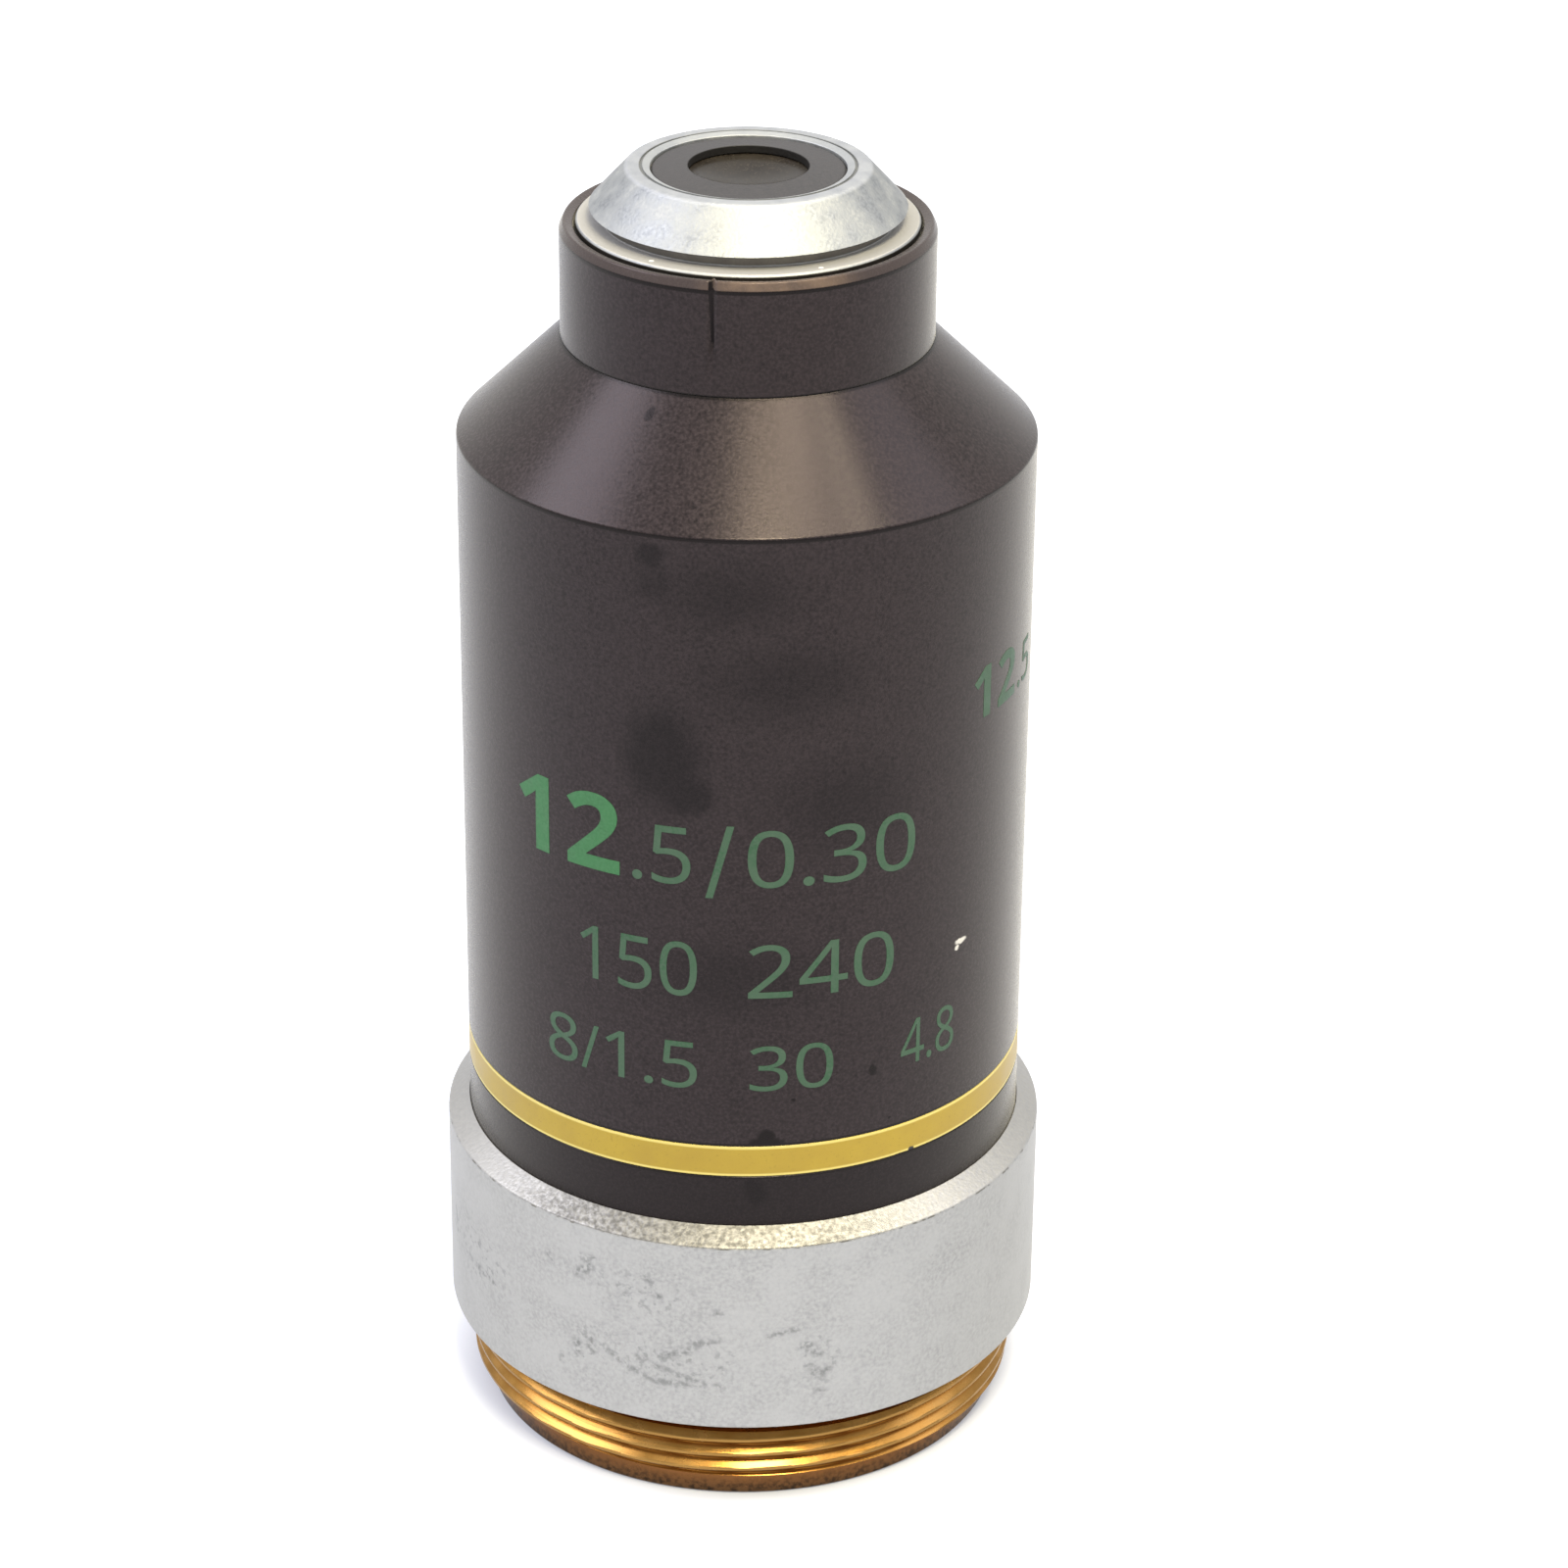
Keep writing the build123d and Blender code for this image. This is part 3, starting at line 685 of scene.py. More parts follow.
sleeve_outline = [
    (SLEEVE_BORE, SLEEVE_LEVEL, 0),
    (SLEEVE_RADIUS, SLEEVE_LEVEL, 0.08),
    (SLEEVE_RADIUS, SCRATCH_FOOT - SCRATCH_RUN_OUT, 0),
    (SLEEVE_RADIUS, SCRATCH_FOOT, 0),
    (SLEEVE_RADIUS, SLEEVE_RIM, 0.06),
    (CREST_RADIUS, CREST_LEVEL, 0.08),
    (SLEEVE_MOUTH, MOUTH_LEVEL, 0.04),
    (SLEEVE_MOUTH, FLANGE_BASE, 0),
    (SLEEVE_BORE, FLANGE_BASE, 0),
]
scratch_turns = [SCRATCH_ANGLE - SCRATCH_HALF, SCRATCH_ANGLE, SCRATCH_ANGLE + SCRATCH_HALF]
sleeve = lathe("sleeve", sleeve_outline, black_anodised, scratch_turns)
moved = 0
for vertex in sleeve.data.vertices:
    x, y, z = vertex.co / MM
    on_line = abs(math.atan2(x, -y) - SCRATCH_ANGLE) < SCRATCH_HALF / 2
    outside = math.hypot(x, y) > SLEEVE_MOUTH + SCRATCH_DEPTH
    if on_line and outside and z > SCRATCH_FOOT - LEVEL_SLACK:
        vertex.co -= Vector((x, y, 0)).normalized() * SCRATCH_DEPTH * MM
        moved += 1
print("points moved for the scratch:", moved)
dress(sleeve, "front_sleeve")

# %% [markdown]
# ## Satin chrome on the collar
# The collar is plated over a blasted surface: a true metal, pale grey and dull, that
# blurs the white room into an even tone. Its blasting grain, under 0.1 mm, is drawn twice
# as coarse so that it shows. Years in a nosepiece have left grey worn streaks low on the
# front. The bevel on top has the coarse, sparkling plate of an edge, with dirt along its
# foot, and its front, where the lamps' glint falls, is painted darker: a painted shade.

# %% Collar finish
COLLAR_RADIUS = 13.5
BEVEL_BASE = 9.28
BEVEL_TOP = 9.93
BEVEL_MIDDLE = (BEVEL_BASE + BEVEL_TOP) / 2
SPARKLE_SHARE = 0.38

satin_chrome, tree, shader, place = finish("satin_chrome_plate", Metallic=1.0)
thick_scuffs = [
    (-15.0, 3.6, -10.2, 3.94),
    (-10.2, 3.94, -8.1, 4.35),
    (13.6, 2.95, 15.3, 2.6),
    (15.3, 2.6, 16.4, 2.85),
    (12.0, 4.2, 14.5, 3.75),
    (-32.4, 6.75, -31.4, 7.05),
    (-30.6, 6.9, -28.9, 7.7),
    (-31.2, 7.7, -29.6, 7.2),
    (-32.8, 3.2, -32.7, 2.7),
    (-29.5, 3.6, -29.4, 3.0),
    (-16.0, 6.52, -15.5, 6.44),
]
thin_scuffs = [
    (-8.1, 4.35, -4.5, 4.56),
    (-22.1, 2.63, -16.0, 2.15),
    (-16.0, 2.15, -7.0, 2.22),
    (-19.8, 3.26, -11.7, 2.6),
    (-11.7, 2.6, -8.1, 2.34),
    (-26.1, 3.2, -22.6, 2.7),
    (-4.4, 2.3, -3.8, 2.1),
    (-3.7, 3.1, -3.2, 2.95),
    (4.8, 4.78, 11.0, 5.15),
    (10.5, 4.1, 12.4, 4.26),
    (13.6, 1.74, 15.6, 1.76),
    (-66.7, 3.95, -55.5, 3.88),
    (-75.6, 5.2, -74.4, 4.2),
    (-39.6, 7.2, -38.6, 6.95),
    (-18.4, 7.4, -17.0, 7.15),
    (-36.5, 2.2, -36.4, 1.9),
    (-5.0, 6.0, -4.0, 5.95),
]
worn_places = [
    (-13.0, 3.3, 3.0, 1.6),
    (-19.0, 6.4, 2.6, 1.3),
    (-30.0, 3.2, 1.6, 1.2),
    (14.5, 3.4, 1.1, 1.3),
    (-64.0, 4.6, 3.4, 1.6),
]
# Painted shade: the front of the bevel, where the lamps' glint falls, is painted darker.
front_shade_places = [(-9.5, BEVEL_MIDDLE, 9.0, 3.0)]

crisp = unrolled(tree, place, COLLAR_RADIUS, ragged=0.2, grain=0.5)
grain = blotches(tree, place, 0.17, 0.3, 0.7, 2.0)
cloud = blotches(tree, place, 1.8, 0.35, 0.65, 4.0)
specks = blotches(tree, place, 0.4, 0.66, 0.76, 3.0)
mottle = blotches(tree, place, 0.24, 0.38, 0.62, 3.0)
thick = strokes(tree, crisp, thick_scuffs, half_width=0.2, soft=1.0)
thin = strokes(tree, crisp, thin_scuffs, half_width=0.13, soft=1.0)
worn = marks(tree, crisp, worn_places, soft=0.7)
pits = blotches(tree, place, 0.3, 0.54, 0.68, 3.0)
bevel = stripe(tree, place, BEVEL_MIDDLE, (BEVEL_TOP - BEVEL_BASE) / 2, soft=0.03)
painted_front_shade = marks(tree, crisp, front_shade_places, soft=0.4)
sparkle = both(tree, blotches(tree, place, 0.22, 0.36, 0.64, 3.0), SPARKLE_SHARE)
foot = stripe(tree, place, BEVEL_BASE - 0.03, half_width=0.01, soft=0.05)
foot_dirt = blotches(tree, place, 0.5, 0.52, 0.64, 3.0)
layers = [
    (cloud, "#a6a6a6"),
    (specks, "#989898"),
    (grain, "#b2b2b2"),
    (both(tree, worn, pits), "#919292"),
    (both(tree, thick, mottle), "#808181"),
    (both(tree, thin, mottle), "#868787"),
    (bevel, "#adacaa"),
    (both(tree, painted_front_shade, bevel), "#666563"),
    (both(tree, bevel, sparkle), "#b8b7b4"),
    (both(tree, foot, foot_dirt), "#74726c"),
]
paint(tree, shader, "#999999", layers)
texture(tree, shader, grain, smooth=0.4, rough=0.56, height=grain, depth=0.006)
print(satin_chrome.name, len(tree.nodes), "nodes")

# %% [markdown]
# ## The collar
# The collar is the grip that seats the objective. Its underside is the shoulder that all
# heights are counted from, and its top is bevelled down to the barrel, with a hairline
# gap between the two. The outline keeps that gap, because its dark line is what makes
# them read as two pieces.

# %% Collar
COLLAR_BORE = 12.53
SPIGOT_BORE = 11.23
LAND_RADIUS = 12.65
LAND_STEP = 0.1
FOOT_CHAMFER = 0.1

collar_outline = [
    (SPIGOT_BORE, LAND_STEP, 0),
    (LAND_RADIUS, LAND_STEP, 0),
    (LAND_RADIUS, 0.0, 0),
    (COLLAR_RADIUS - FOOT_CHAMFER, 0.0, 0.03),
    (COLLAR_RADIUS, FOOT_CHAMFER, 0.03),
    (COLLAR_RADIUS, BEVEL_BASE, 0.1),
    (COLLAR_BORE, BEVEL_TOP, 0.04),
    (COLLAR_BORE, BARREL_BASE, 0),
    (SPIGOT_BORE, BARREL_BASE, 0),
]
dress(lathe("collar", collar_outline, satin_chrome), "mount_collar")

# %% [markdown]
# ## Fine plate on the nose cap
# The cap carries finer plate than the collar, and a cloth has wiped it cloudy for years.
# It is a metal again, bluish grey at its sides and warm under the lamps. Its flat rim and
# the top of its flange are painted paler, a painted light. Its groove, its undercut and
# the gap inside the sleeve's mouth are painted darker, a painted shade, and two white dots
# on the flange are painted glints. Its gloss is broken into specks about 0.2 mm wide, and
# that break matters more than its colour: without it the cone would show the lamps as
# clean shapes.

# %% Cap finish
FLANGE_TOP = 51.8
FLANGE_RADIUS = 7.3
CAP_BASE = 52.34
UNDERCUT_MIDDLE = (FLANGE_TOP + CAP_BASE) / 2
CAP_BORE = 4.15
LIP_RADIUS = 4.45
LIP_MIDDLE = (CAP_BORE + LIP_RADIUS) / 2
GROOVE_MIDDLE = 4.54
CAP_TOP = 54.1
CLOUD_DULLNESS = 0.5
TOP_LIGHT_SHARE = 0.65

bright_chrome, tree, shader, place = finish("fine_satin_chrome_plate", Metallic=1.0)
# Two white dots on the flange's top are painted glints.
painted_glint_places = [(6.85, -35.4, FLANGE_TOP), (6.95, 25.5, FLANGE_TOP)]
across = from_axis(tree, place)
grain = blotches(tree, place, 0.16, 0.34, 0.66, 2.0)
cloud = blotches(tree, place, 0.9, 0.36, 0.64, 5.0)
# The flange's flat top is painted paler: a painted light where it mirrors the dark underside of
# the cone.
flange = stripe(tree, place, FLANGE_TOP, half_width=0.02, soft=0.02)
# Painted shade: the flange's wall inside the sleeve's mouth and the undercut under the cone are
# painted darker.
gap_shade = stripe(tree, place, FLANGE_TOP - 0.2, half_width=0.1, soft=0.04)
undercut_shade = stripe(tree, place, UNDERCUT_MIDDLE, half_width=0.2, soft=0.04)
lip = around(tree, across, LIP_MIDDLE, half_width=0.13, soft=0.03)
# Painted shade: the fine groove in the rim is painted darker.
groove = around(tree, across, GROOVE_MIDDLE, half_width=0.05, soft=0.05)
near_top = stripe(tree, place, CAP_TOP, half_width=0.12, soft=0.02)
# Painted light: the flat top of the cap is painted paler.
painted_top_light = stripe(tree, place, CAP_TOP, half_width=0.04, soft=0.1)
dull = maths(tree, "MAXIMUM", both(tree, cloud, CLOUD_DULLNESS), flange)
layers = [
    (cloud, "#aaacad"),
    (grain, "#9c9fa2"),
    (both(tree, painted_top_light, TOP_LIGHT_SHARE), "#c0c3ca"),
    (lip, "#b0b3b7"),
    (both(tree, groove, near_top), "#8c8e8f"),
    (flange, "#bcbbba"),
    (undercut_shade, "#6b6864"),
    (gap_shade, "#3a3734"),
    (dots(tree, place, painted_glint_places, size=0.13), "#ffffff"),
]
paint(tree, shader, "#888b8f", layers)
texture(tree, shader, dull, smooth=0.54, rough=0.74, height=grain, depth=0.006)
print(bright_chrome.name, len(tree.nodes), "nodes")

# %% [markdown]
# ## The nose cap
# The cap screws into the neck and holds the front cell. From the top it has a flat rim
# with a fine groove, a cone, an undercut that a tool can grip, and a thin flange. The
# edge between rim and cone is worn round.

# %% Cap
LIP_LEVEL = 54.0
GROOVE_IN = 4.47
GROOVE_OUT = 4.59
GROOVE_LEVEL = 54.03
CAP_TOP_RADIUS = 5.15
CAP_RADIUS = 6.75
UNDERCUT_RADIUS = 6.2
FLANGE_CHAMFER = 0.1
CAP_SPIGOT = 5.97
CAP_THREAD = 4.92
SPIGOT_END = 47.6
CELL_SEAT = 50.1

cap_outline = [
    (CAP_BORE, LIP_LEVEL, 0.03),
    (LIP_RADIUS, CAP_TOP, 0.02),
    (GROOVE_IN, CAP_TOP, 0),
    (GROOVE_IN, GROOVE_LEVEL, 0),
    (GROOVE_OUT, GROOVE_LEVEL, 0),
    (GROOVE_OUT, CAP_TOP, 0.03),
    (CAP_TOP_RADIUS, CAP_TOP, 0.16),
    (CAP_RADIUS, CAP_BASE, 0.06),
    (UNDERCUT_RADIUS, CAP_BASE, 0),
    (UNDERCUT_RADIUS, FLANGE_TOP, 0),
    (FLANGE_RADIUS - FLANGE_CHAMFER, FLANGE_TOP, 0.02),
    (FLANGE_RADIUS, FLANGE_TOP - FLANGE_CHAMFER, 0.02),
    (FLANGE_RADIUS, FLANGE_BASE, 0),
    (CAP_SPIGOT, FLANGE_BASE, 0),
    (CAP_SPIGOT, SPIGOT_END, 0),
    (CAP_THREAD, SPIGOT_END, 0),
    (CAP_THREAD, CELL_SEAT, 0),
    (CAP_BORE, CELL_SEAT, 0),
]
dress(lathe("cap", cap_outline, bright_chrome), "nose_cap")

# %% [markdown]
# ## The front cell
# The cell is the black ring round the front glass. It is anodised like the barrel, but
# matt, to send no light back: its gloss is wide and dim, so it looks cool dark grey. The
# tooth of its blasted face is drawn coarser than it is, at 0.13 mm, so that it shows.

# %% Cell
APERTURE = 2.55
FACE_LEVEL = 54.08
FACE_EDGE_LEVEL = 53.94
CELL_RADIUS = 4.12
POCKET = 3.55
GLASS_TOP = 53.75
FACE_CHAMFER = 0.1
CELL_FLANGE = 4.88
CELL_END = 49.0
WALL_EDGE = 0.06

black_cell, tree, shader, place = finish("matt_black_anodised_aluminium", IOR=1.45)
grain = blotches(tree, place, 0.13, 0.3, 0.7, 2.0)
# Painted shade: the wall of the aperture is painted near black.
aperture_shade = fading(tree, from_axis(tree, place), APERTURE, APERTURE + WALL_EDGE)
paint(tree, shader, "#303034", [(grain, "#403f44"), (aperture_shade, "#0f0d0c")])
texture(tree, shader, grain, smooth=0.48, rough=0.62, height=grain, depth=0.005)

cell_outline = [
    (APERTURE, FACE_LEVEL, 0.04),
    (CELL_RADIUS - FACE_CHAMFER, FACE_EDGE_LEVEL, 0.04),
    (CELL_RADIUS, FACE_EDGE_LEVEL - FACE_CHAMFER, 0.03),
    (CELL_RADIUS, CELL_SEAT, 0),
    (CELL_FLANGE, CELL_SEAT, 0),
    (CELL_FLANGE, CELL_END, 0),
    (POCKET, CELL_END, 0),
    (POCKET, GLASS_TOP, 0),
    (APERTURE, GLASS_TOP, 0.02),
]
dress(lathe("front_cell", cell_outline, black_cell), "front_lens_cell")

# %% [markdown]
# ## The front glass
# The front lens has a bowl ground into its face and a strong dome behind. Through it one
# looks into a blackened tube, so it never looks clear: it is nearly black with a warm
# cast, and only its coated surface gives a soft sheen, stronger where the eye meets the
# bowl at a low angle. It is made as that dark body with the gloss of coated glass, because
# a clear one would show the white room by paths inside the glass that the blackened edge
# stops.

# %% Front lens
BOWL_CURVE = 7.0
BOWL_RADIUS = 2.72
LENS_RADIUS = 3.52
LENS_RIM = 51.75
DOME_CURVE = 5.5
ARC_STEPS = 14

glass, tree, shader, place = finish("coated_optical_glass", IOR=1.52, Specular_IOR_Level=0.3)
cloud = blotches(tree, place, 0.9, 0.35, 0.65, 3.0)
dust = blotches(tree, place, 0.12, 0.55, 0.8, 2.0)
paint(tree, shader, "#211d1a", [(cloud, "#2a2622"), (dust, "#3d3833")])
texture(tree, shader, cloud, smooth=0.1, rough=0.18, height=dust, depth=0.0015)


def arc(curve, reach, rim_level, side):
    """Points of a sphere's outline from the axis to a reach, above or below its rim's level."""
    points = []
    for step in range(ARC_STEPS + 1):
        radius = reach * step / ARC_STEPS
        drop = math.sqrt(curve**2 - radius**2) - math.sqrt(curve**2 - reach**2)
        points.append((radius, rim_level + side * drop, 0))
    return points


bowl = arc(BOWL_CURVE, BOWL_RADIUS, GLASS_TOP, -1)
dome = arc(DOME_CURVE, LENS_RADIUS, LENS_RIM, -1)
lens_outline = [*bowl, (LENS_RADIUS, GLASS_TOP, 0), *reversed(dome)]
dress(lathe("front_glass", lens_outline, glass), "front_lens")

# %% [markdown]
# ## Turned brass
# The mount is bare brass: a deep gold metal, satin from use, with fine turning lines and
# a little darker in the grooves, where oil stays. The plain end below the thread is
# painted brown, darker towards the bottom and nearly black with dark specks at the bottom
# edge. The lines, about 0.05 mm apart on the real one, are drawn at 0.14 mm so that they show.

# %% Brass
THREAD_RADIUS = 12.5
THREAD_DEPTH = 0.34
THREAD_BASE = -3.3
MOUNT_BASE = FLOOR_LEVEL
WORN_CREST = (THREAD_RADIUS - 0.06, THREAD_RADIUS - 0.02)
DARK_ROOT = (THREAD_RADIUS - THREAD_DEPTH, THREAD_RADIUS - THREAD_DEPTH / 2)
BROWN_LEVELS = (THREAD_BASE + 0.05, THREAD_BASE - 0.25)
BLACK_LEVELS = (THREAD_BASE - 0.35, MOUNT_BASE + 0.15)
TURNING_PITCH = 0.14

brass, tree, shader, place = finish("turned_brass", Metallic=1.0)
height = add(tree, "ShaderNodeSeparateXYZ", {0: place}).outputs["Z"]
across = from_axis(tree, place)
cloud = blotches(tree, place, 1.3, 0.3, 0.7, 4.0)
speck = blotches(tree, place, 0.22, 0.42, 0.62, 3.0)
bottom = ramp(tree, height, *BLACK_LEVELS)
rings = add(tree, "ShaderNodeCombineXYZ", {"Z": height})
lines = blotches(tree, rings, TURNING_PITCH, 0.3, 0.7, 2.0)
layers = [
    (cloud, "#a67d44"),
    (fading(tree, across, *DARK_ROOT), "#8a5c26"),
    (ramp(tree, across, *WORN_CREST), "#987440"),
    (ramp(tree, height, *BROWN_LEVELS), "#7a5230"),
    (bottom, "#5f4630"),
    (both(tree, bottom, speck), "#33281f"),
]
paint(tree, shader, "#8f6730", layers)
texture(tree, shader, cloud, smooth=0.2, rough=0.3, height=lines, depth=0.003)
print(brass.name, len(tree.nodes), "nodes")

# %% [markdown]
# ## The mount body
# Everything inside the mount is one turned brass piece: the plain pilot at the bottom,
# the core under the thread, the relief groove, and the long spigot that the collar and
# the barrel are fixed on. Most of it can't be seen, but the recess at the rear can.

# %% Mount
PILOT_RADIUS = 11.8
CORE_RADIUS = 11.95
RELIEF_RADIUS = 11.9
THREAD_TOP = -1.0
RECESS_RADIUS = 9.8
MOUNT_BORE = 9.5
SPIGOT_RADIUS = 11.2
SPIGOT_TOP = 9.0
RECESS_TOP = 1.7
EDGE = 0.1

mount_outline = [
    (RECESS_RADIUS + EDGE, MOUNT_BASE, 0.03),
    (PILOT_RADIUS - EDGE, MOUNT_BASE, 0.04),
    (PILOT_RADIUS, MOUNT_BASE + EDGE, 0.04),
    (PILOT_RADIUS, THREAD_BASE, 0),
    (CORE_RADIUS, THREAD_BASE, 0),
    (CORE_RADIUS, THREAD_TOP, 0),
    (RELIEF_RADIUS, THREAD_TOP, 0),
    (RELIEF_RADIUS, LAND_STEP, 0),
    (SPIGOT_RADIUS, LAND_STEP, 0),
    (SPIGOT_RADIUS, SPIGOT_TOP, 0),
    (MOUNT_BORE, SPIGOT_TOP, 0),
    (MOUNT_BORE, RECESS_TOP, 0),
    (RECESS_RADIUS, RECESS_TOP, 0),
    (RECESS_RADIUS, MOUNT_BASE + EDGE, 0.03),
]
dress(lathe("mount", mount_outline, brass), "mount_body")

# %% [markdown]
# ## A thread that is really cut
# The solid has a plain cylinder where the thread is. A thread follows a rule: its crest
# climbs one pitch for each turn. So Geometry Nodes make it: a flat grid is wrapped into a
# ring, and each point's radius comes from how far it lies from the crest that passes
# there. The crests are worn flat and the grooves between them are shallow, as the
# photograph shows them. Both ends run out in the short chamfer that the solid has. Two
# more rows at the back close the ring into a body. The arithmetic stands in two tables:
# each line names a result, an operation and what it works on.

# %% The thread's tree
thread_tree = bpy.data.node_groups.new("cut_thread", "GeometryNodeTree")
thread_tree.is_modifier = True
thread_sizes = {
    "Pitch": 0.75,
    "Depth": THREAD_DEPTH,
    "Chamfer": 0.12,
    "Crest Radius": THREAD_RADIUS,
    "Inner Radius": 11.4,
    "Base Level": THREAD_BASE,
    "Top Level": THREAD_TOP,
}
thread_shares = {"Crest Share": 0.16, "Root Share": 0.97}
thread_steps = {"Turn Steps": 480, "Level Steps": 96}
sockets = {}
for names, kind in (
    ([*thread_sizes, *thread_shares], "NodeSocketFloat"),
    (thread_steps, "NodeSocketInt"),
    (["Material"], "NodeSocketMaterial"),
):
    for name in names:
        sockets[name] = thread_tree.interface.new_socket(name, in_out="INPUT", socket_type=kind)
thread_tree.interface.new_socket("Geometry", in_out="OUTPUT", socket_type="NodeSocketGeometry")
given = add(thread_tree, "NodeGroupInput").outputs
where = add(thread_tree, "GeometryNodeInputPosition")
where = add(thread_tree, "ShaderNodeSeparateXYZ", {0: where})

arithmetic = [
    ("columns", "ADD", "Turn Steps", 1.0),
    ("turn", "ADD", "x", 0.5),
    ("angle", "MULTIPLY", "turn", 2 * math.pi),
    ("last row", "SUBTRACT", "Level Steps", 1.0),
    ("row share", "ADD", "y", 0.5),
    ("row near", "MULTIPLY", "row share", "last row"),
    ("row", "ROUND", "row near"),
    ("cut rows", "SUBTRACT", "last row", 3.0),
    ("row above", "SUBTRACT", "row", 1.0),
    ("rise free", "DIVIDE", "row above", "cut rows"),
    ("rise least", "MAXIMUM", "rise free", 0.0),
    ("rise most", "MINIMUM", "rise least", 1.0),
    ("before last", "SUBTRACT", "last row", 0.5),
    ("is last", "GREATER_THAN", "row", "before last"),
    ("not last", "SUBTRACT", 1.0, "is last"),
    ("rise", "MULTIPLY", "rise most", "not last"),
    ("length", "SUBTRACT", "Top Level", "Base Level"),
    ("level", "MULTIPLY_ADD", "rise", "length", "Base Level"),
    ("levels climbed", "DIVIDE", "level", "Pitch"),
    ("climbed", "SUBTRACT", "levels climbed", "turn"),
    ("part climbed", "FRACT", "climbed"),
    ("from middle", "SUBTRACT", "part climbed", 0.5),
    ("half off", "ABSOLUTE", "from middle"),
    ("off crest", "MULTIPLY", "half off", 2.0),
    ("above base", "SUBTRACT", "level", "Base Level"),
    ("base cut", "SUBTRACT", "Chamfer", "above base"),
    ("below top", "SUBTRACT", "Top Level", "level"),
    ("top cut", "SUBTRACT", "Chamfer", "below top"),
    ("end cut", "MAXIMUM", "base cut", "top cut"),
    ("is first", "LESS_THAN", "row", 0.5),
    ("before two", "SUBTRACT", "last row", 1.5),
    ("in last two", "GREATER_THAN", "row", "before two"),
    ("is inner", "MAXIMUM", "is first", "in last two"),
]
known = {"x": where.outputs["X"], "y": where.outputs["Y"]}
known.update({name: given[name] for name in sockets})


def work_out(table):
    """Add the arithmetic of a table to the thread's tree and keep each result by its name."""
    for name, operation, *values in table:
        inputs = [known.get(value, value) for value in values]
        known[name] = maths(thread_tree, operation, *inputs).outputs[0]


work_out(arithmetic)
flank = ramp(thread_tree, known["off crest"], given["Crest Share"], given["Root Share"])
known["flank"] = flank.outputs[0]
work_out(
    [
        ("below crest", "MULTIPLY", "flank", "Depth"),
        ("cut", "MAXIMUM", "below crest", "end cut"),
        ("outer", "SUBTRACT", "Crest Radius", "cut"),
        ("way in", "SUBTRACT", "Inner Radius", "outer"),
        ("radius", "MULTIPLY_ADD", "is inner", "way in", "outer"),
        ("sine", "SINE", "angle"),
        ("cosine", "COSINE", "angle"),
        ("x placed", "MULTIPLY", "radius", "cosine"),
        ("y placed", "MULTIPLY", "radius", "sine"),
    ]
)
print("thread tree:", len(thread_tree.nodes), "nodes of arithmetic")

# %% The thread's mesh
grid_size = {"Size X": 1.0, "Size Y": 1.0, "Vertices X": known["columns"]}
grid_size["Vertices Y"] = given["Level Steps"]
grid = add(thread_tree, "GeometryNodeMeshGrid", grid_size)
wrapped = {"X": known["x placed"], "Y": known["y placed"], "Z": known["level"]}
wrapped = add(thread_tree, "ShaderNodeCombineXYZ", wrapped)
ring = add(thread_tree, "GeometryNodeSetPosition", {"Geometry": grid, "Position": wrapped})
closed = add(thread_tree, "GeometryNodeMergeByDistance", {"Geometry": ring, "Distance": WELD})
real = add(thread_tree, "GeometryNodeRealizeInstances", {"Geometry": closed})
coated = {"Geometry": real, "Material": given["Material"]}
coated = add(thread_tree, "GeometryNodeSetMaterial", coated)
add(thread_tree, "NodeGroupOutput", {"Geometry": coated})

blank = new_object("thread_blank", bpy.data.meshes.new("thread_blank"))
modifier = blank.modifiers.new("cut_thread", "NODES")
modifier.node_group = thread_tree
for name, size in thread_sizes.items():
    modifier[sockets[name].identifier] = size * MM
for name, value in {**thread_shares, **thread_steps, "Material": brass}.items():
    modifier[sockets[name].identifier] = value
blank.update_tag()
bpy.context.view_layer.update()
cut_blank = blank.evaluated_get(bpy.context.evaluated_depsgraph_get())
thread_mesh = bpy.data.meshes.new_from_object(cut_blank)
bpy.data.objects.remove(blank)
shape = bmesh.new()
shape.from_mesh(thread_mesh)
fill(thread_mesh, shape)
dress(place_mesh("thread", thread_mesh, brass), "mount_body")

# %% [markdown]
# ## Ink for the figures
# The figures are printed in green ink and have been rubbed. Ink is a thin matt film, so
# it has little gloss and its colour is uneven. The large figures are thick and still
# bright. The small ones have worn thin, and the grey of the skin shows in them.

# %% Ink
def ink(name, clouds, colours):
    """Finish of printed ink: a film with worn clouds and a fine tooth."""
    material, tree, shader, place = finish(name, IOR=1.45)
    worn = blotches(tree, place, *clouds)
    tooth = blotches(tree, place, 0.14, 0.35, 0.65, 2.0)
    paint(tree, shader, colours[0], [(worn, colours[1]), (tooth, colours[2])])
    texture(tree, shader, worn, smooth=0.42, rough=0.58, height=tooth, depth=0.003)
    return material


green_ink = ink("green_printing_ink", (0.5, 0.35, 0.65, 3.0), ("#2b6239", "#336c42", "#397047"))
thin_colours = ("#244e31", "#405a48", "#3a5643")
thin_ink = ink("green_printing_ink_worn_thin", (1.4, 0.4, 0.6, 4.0), thin_colours)
print("inks:", green_ink.name, thin_ink.name)

# %% [markdown]
# ## Figures printed round the barrel
# Small objectives carry their figures in coloured ink. Here they are plain numbers, as on
# a dial. Each group is set as flat text in the plain or the bold figures that Blender's
# own font holds, turned into a mesh, cut into narrow upright strips so that it can bend,
# and rolled on to the barrel as a film 0.02 mm thick.

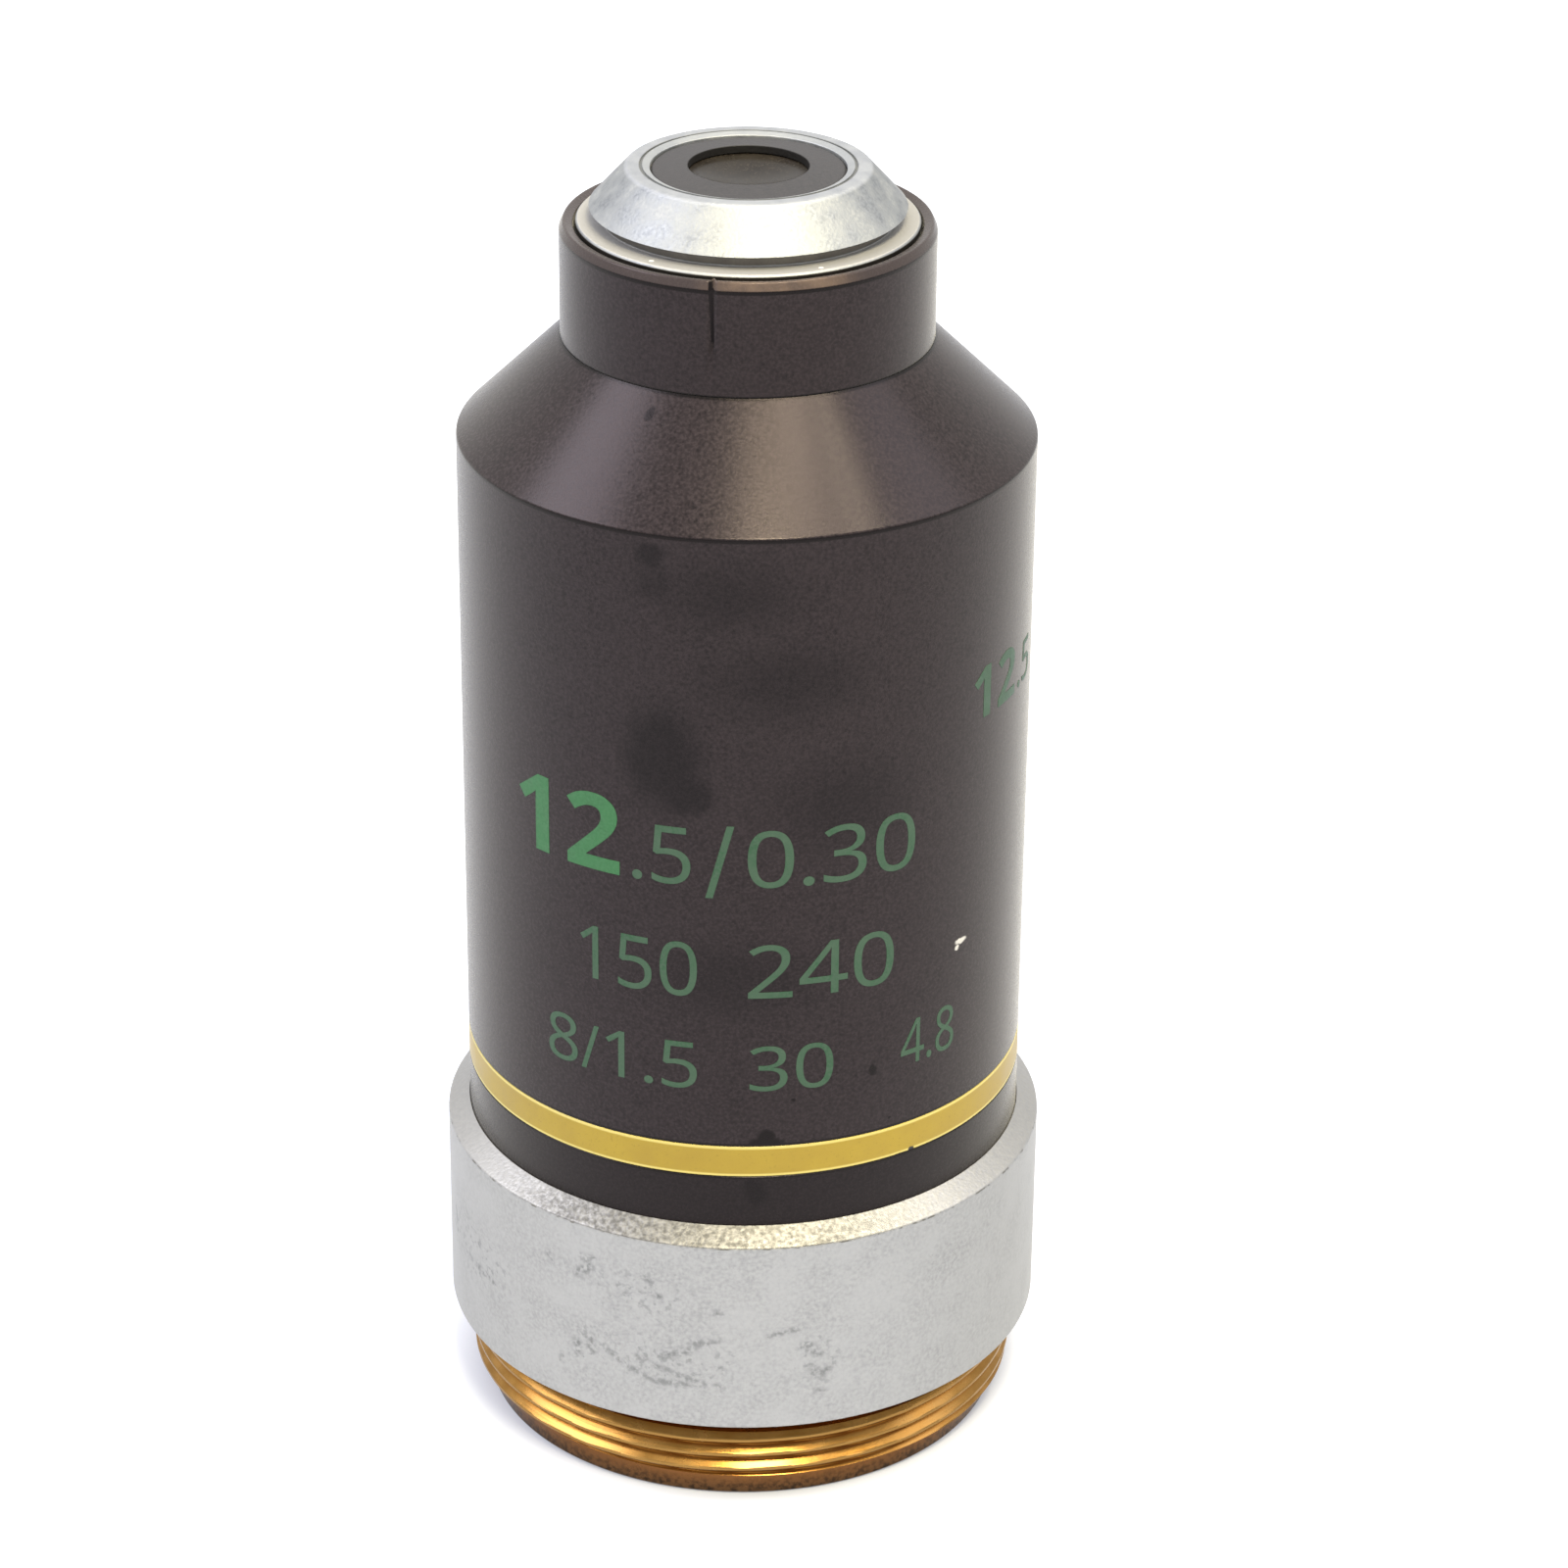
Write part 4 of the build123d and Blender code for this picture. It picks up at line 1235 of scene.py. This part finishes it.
# %% Printing
INK_THICKNESS = 0.02
INK_SUNK = 0.008
STRIP_WIDTH = 0.2
CURVE_STEPS = 6
CUT_SLACK = 1e-5
TEXT_EXTRUSION = 0.5
PLAIN_ZERO = 0x1D7E2
BOLD_ZERO = 0x1D7EC


def flat_figures(words, zero):
    """Mesh of flat text, in the plain or the bold figures."""
    curve = bpy.data.curves.new("figures", "FONT")
    curve.body = "".join(chr(zero + int(one)) if one.isdigit() else one for one in words)
    curve.extrude = TEXT_EXTRUSION
    curve.resolution_u = CURVE_STEPS
    holder = new_object("figures", curve)
    bpy.context.view_layer.update()
    view = bpy.context.evaluated_depsgraph_get()
    mesh = bpy.data.meshes.new_from_object(holder.evaluated_get(view))
    bpy.data.objects.remove(holder)
    bpy.data.curves.remove(curve)
    return mesh


def printed(name, words, angles, levels, material=thin_ink, zero=PLAIN_ZERO):
    """Print a group of figures between two angles in degrees and two levels."""
    mesh = flat_figures(words, zero)
    shape = bmesh.new()
    shape.from_mesh(mesh)
    low = [min(v.co[axis] for v in shape.verts) for axis in range(3)]
    high = [max(v.co[axis] for v in shape.verts) for axis in range(3)]
    width = math.radians(angles[1] - angles[0]) * BARREL_RADIUS
    height = levels[1] - levels[0]
    for v in shape.verts:
        for axis, size in enumerate((width, height, 1)):
            v.co[axis] = (v.co[axis] - low[axis]) / (high[axis] - low[axis]) * size
    for step in range(1, math.ceil(width / STRIP_WIDTH)):
        everything = shape.verts[:] + shape.edges[:] + shape.faces[:]
        cut = {"plane_co": (step * STRIP_WIDTH, 0, 0), "plane_no": (1, 0, 0), "dist": CUT_SLACK}
        bmesh.ops.bisect_plane(shape, geom=everything, **cut)
    for v in shape.verts:
        angle = math.radians(angles[0]) + v.co.x / BARREL_RADIUS
        radius = BARREL_RADIUS - INK_SUNK + v.co.z * INK_THICKNESS
        v.co = on_axis(radius, angle, levels[0] + v.co.y)
    bmesh.ops.remove_doubles(shape, verts=shape.verts, dist=WELD)
    fill(mesh, shape)
    dress(place_mesh(name, mesh, material), None)


# %% Figures
groups = [
    ("large", "12", (-50.3, -25.0), (26.4, 30.0), green_ink, BOLD_ZERO),
    ("point", ".5", (-22.3, -10.5), (26.4, 29.1)),
    ("slash", "/", (-7.6, -2.0), (25.9, 29.3)),
    ("second", "0.30", (0.6, 35.3), (26.4, 29.1)),
    ("third_left", "150", (-34.1, -9.2), (21.1, 23.7)),
    ("third_right", "240", (0.8, 30.8), (21.1, 23.7)),
    ("fourth_left", "8/1.5", (-42.5, -9.2), (16.6, 18.9)),
    ("fourth_middle", "30", (1.2, 18.0), (16.6, 18.8)),
    ("fourth_right", "4.8", (33.0, 47.0), (16.7, 18.9)),
    ("side", "12", (50.8, 67.5), (32.0, 34.4), thin_ink, BOLD_ZERO),
    ("side_point", ".5", (69.5, 78.0), (32.0, 33.9)),
]
for name, *group in groups:
    printed("figures_" + name, *group)

# %% [markdown]
# ## What can be seen inside
# From behind, one looks through the recess at a black baffle and past it at spacers,
# glasses and brass. Those solids keep their own meshes. They get the same finishes as
# outside, and the screws get turned steel: a bright grey metal with fine rings.

# %% Finishes on the solids that stay
steel, tree, shader, place = finish("turned_steel", Metallic=1.0)
grain = blotches(tree, place, 0.12, 0.3, 0.7, 2.0)
paint(tree, shader, "#86868a", [(grain, "#9f9fa3")])
texture(tree, shader, grain, smooth=0.28, rough=0.4, height=grain, depth=0.003)

finishes = {
    "brass": brass,
    "satin_chrome": satin_chrome,
    "bright_chrome": bright_chrome,
    "black_anodised": black_anodised,
    "black_cell": black_cell,
    "yellow_enamel": yellow_enamel,
    "glass": glass,
    "steel": steel,
}
for part in frame["record"]["subparts"]:
    node = frame["nodes"][part["node"]]
    node.data.materials.clear()
    node.data.materials.append(finishes[part["material_slot"]])
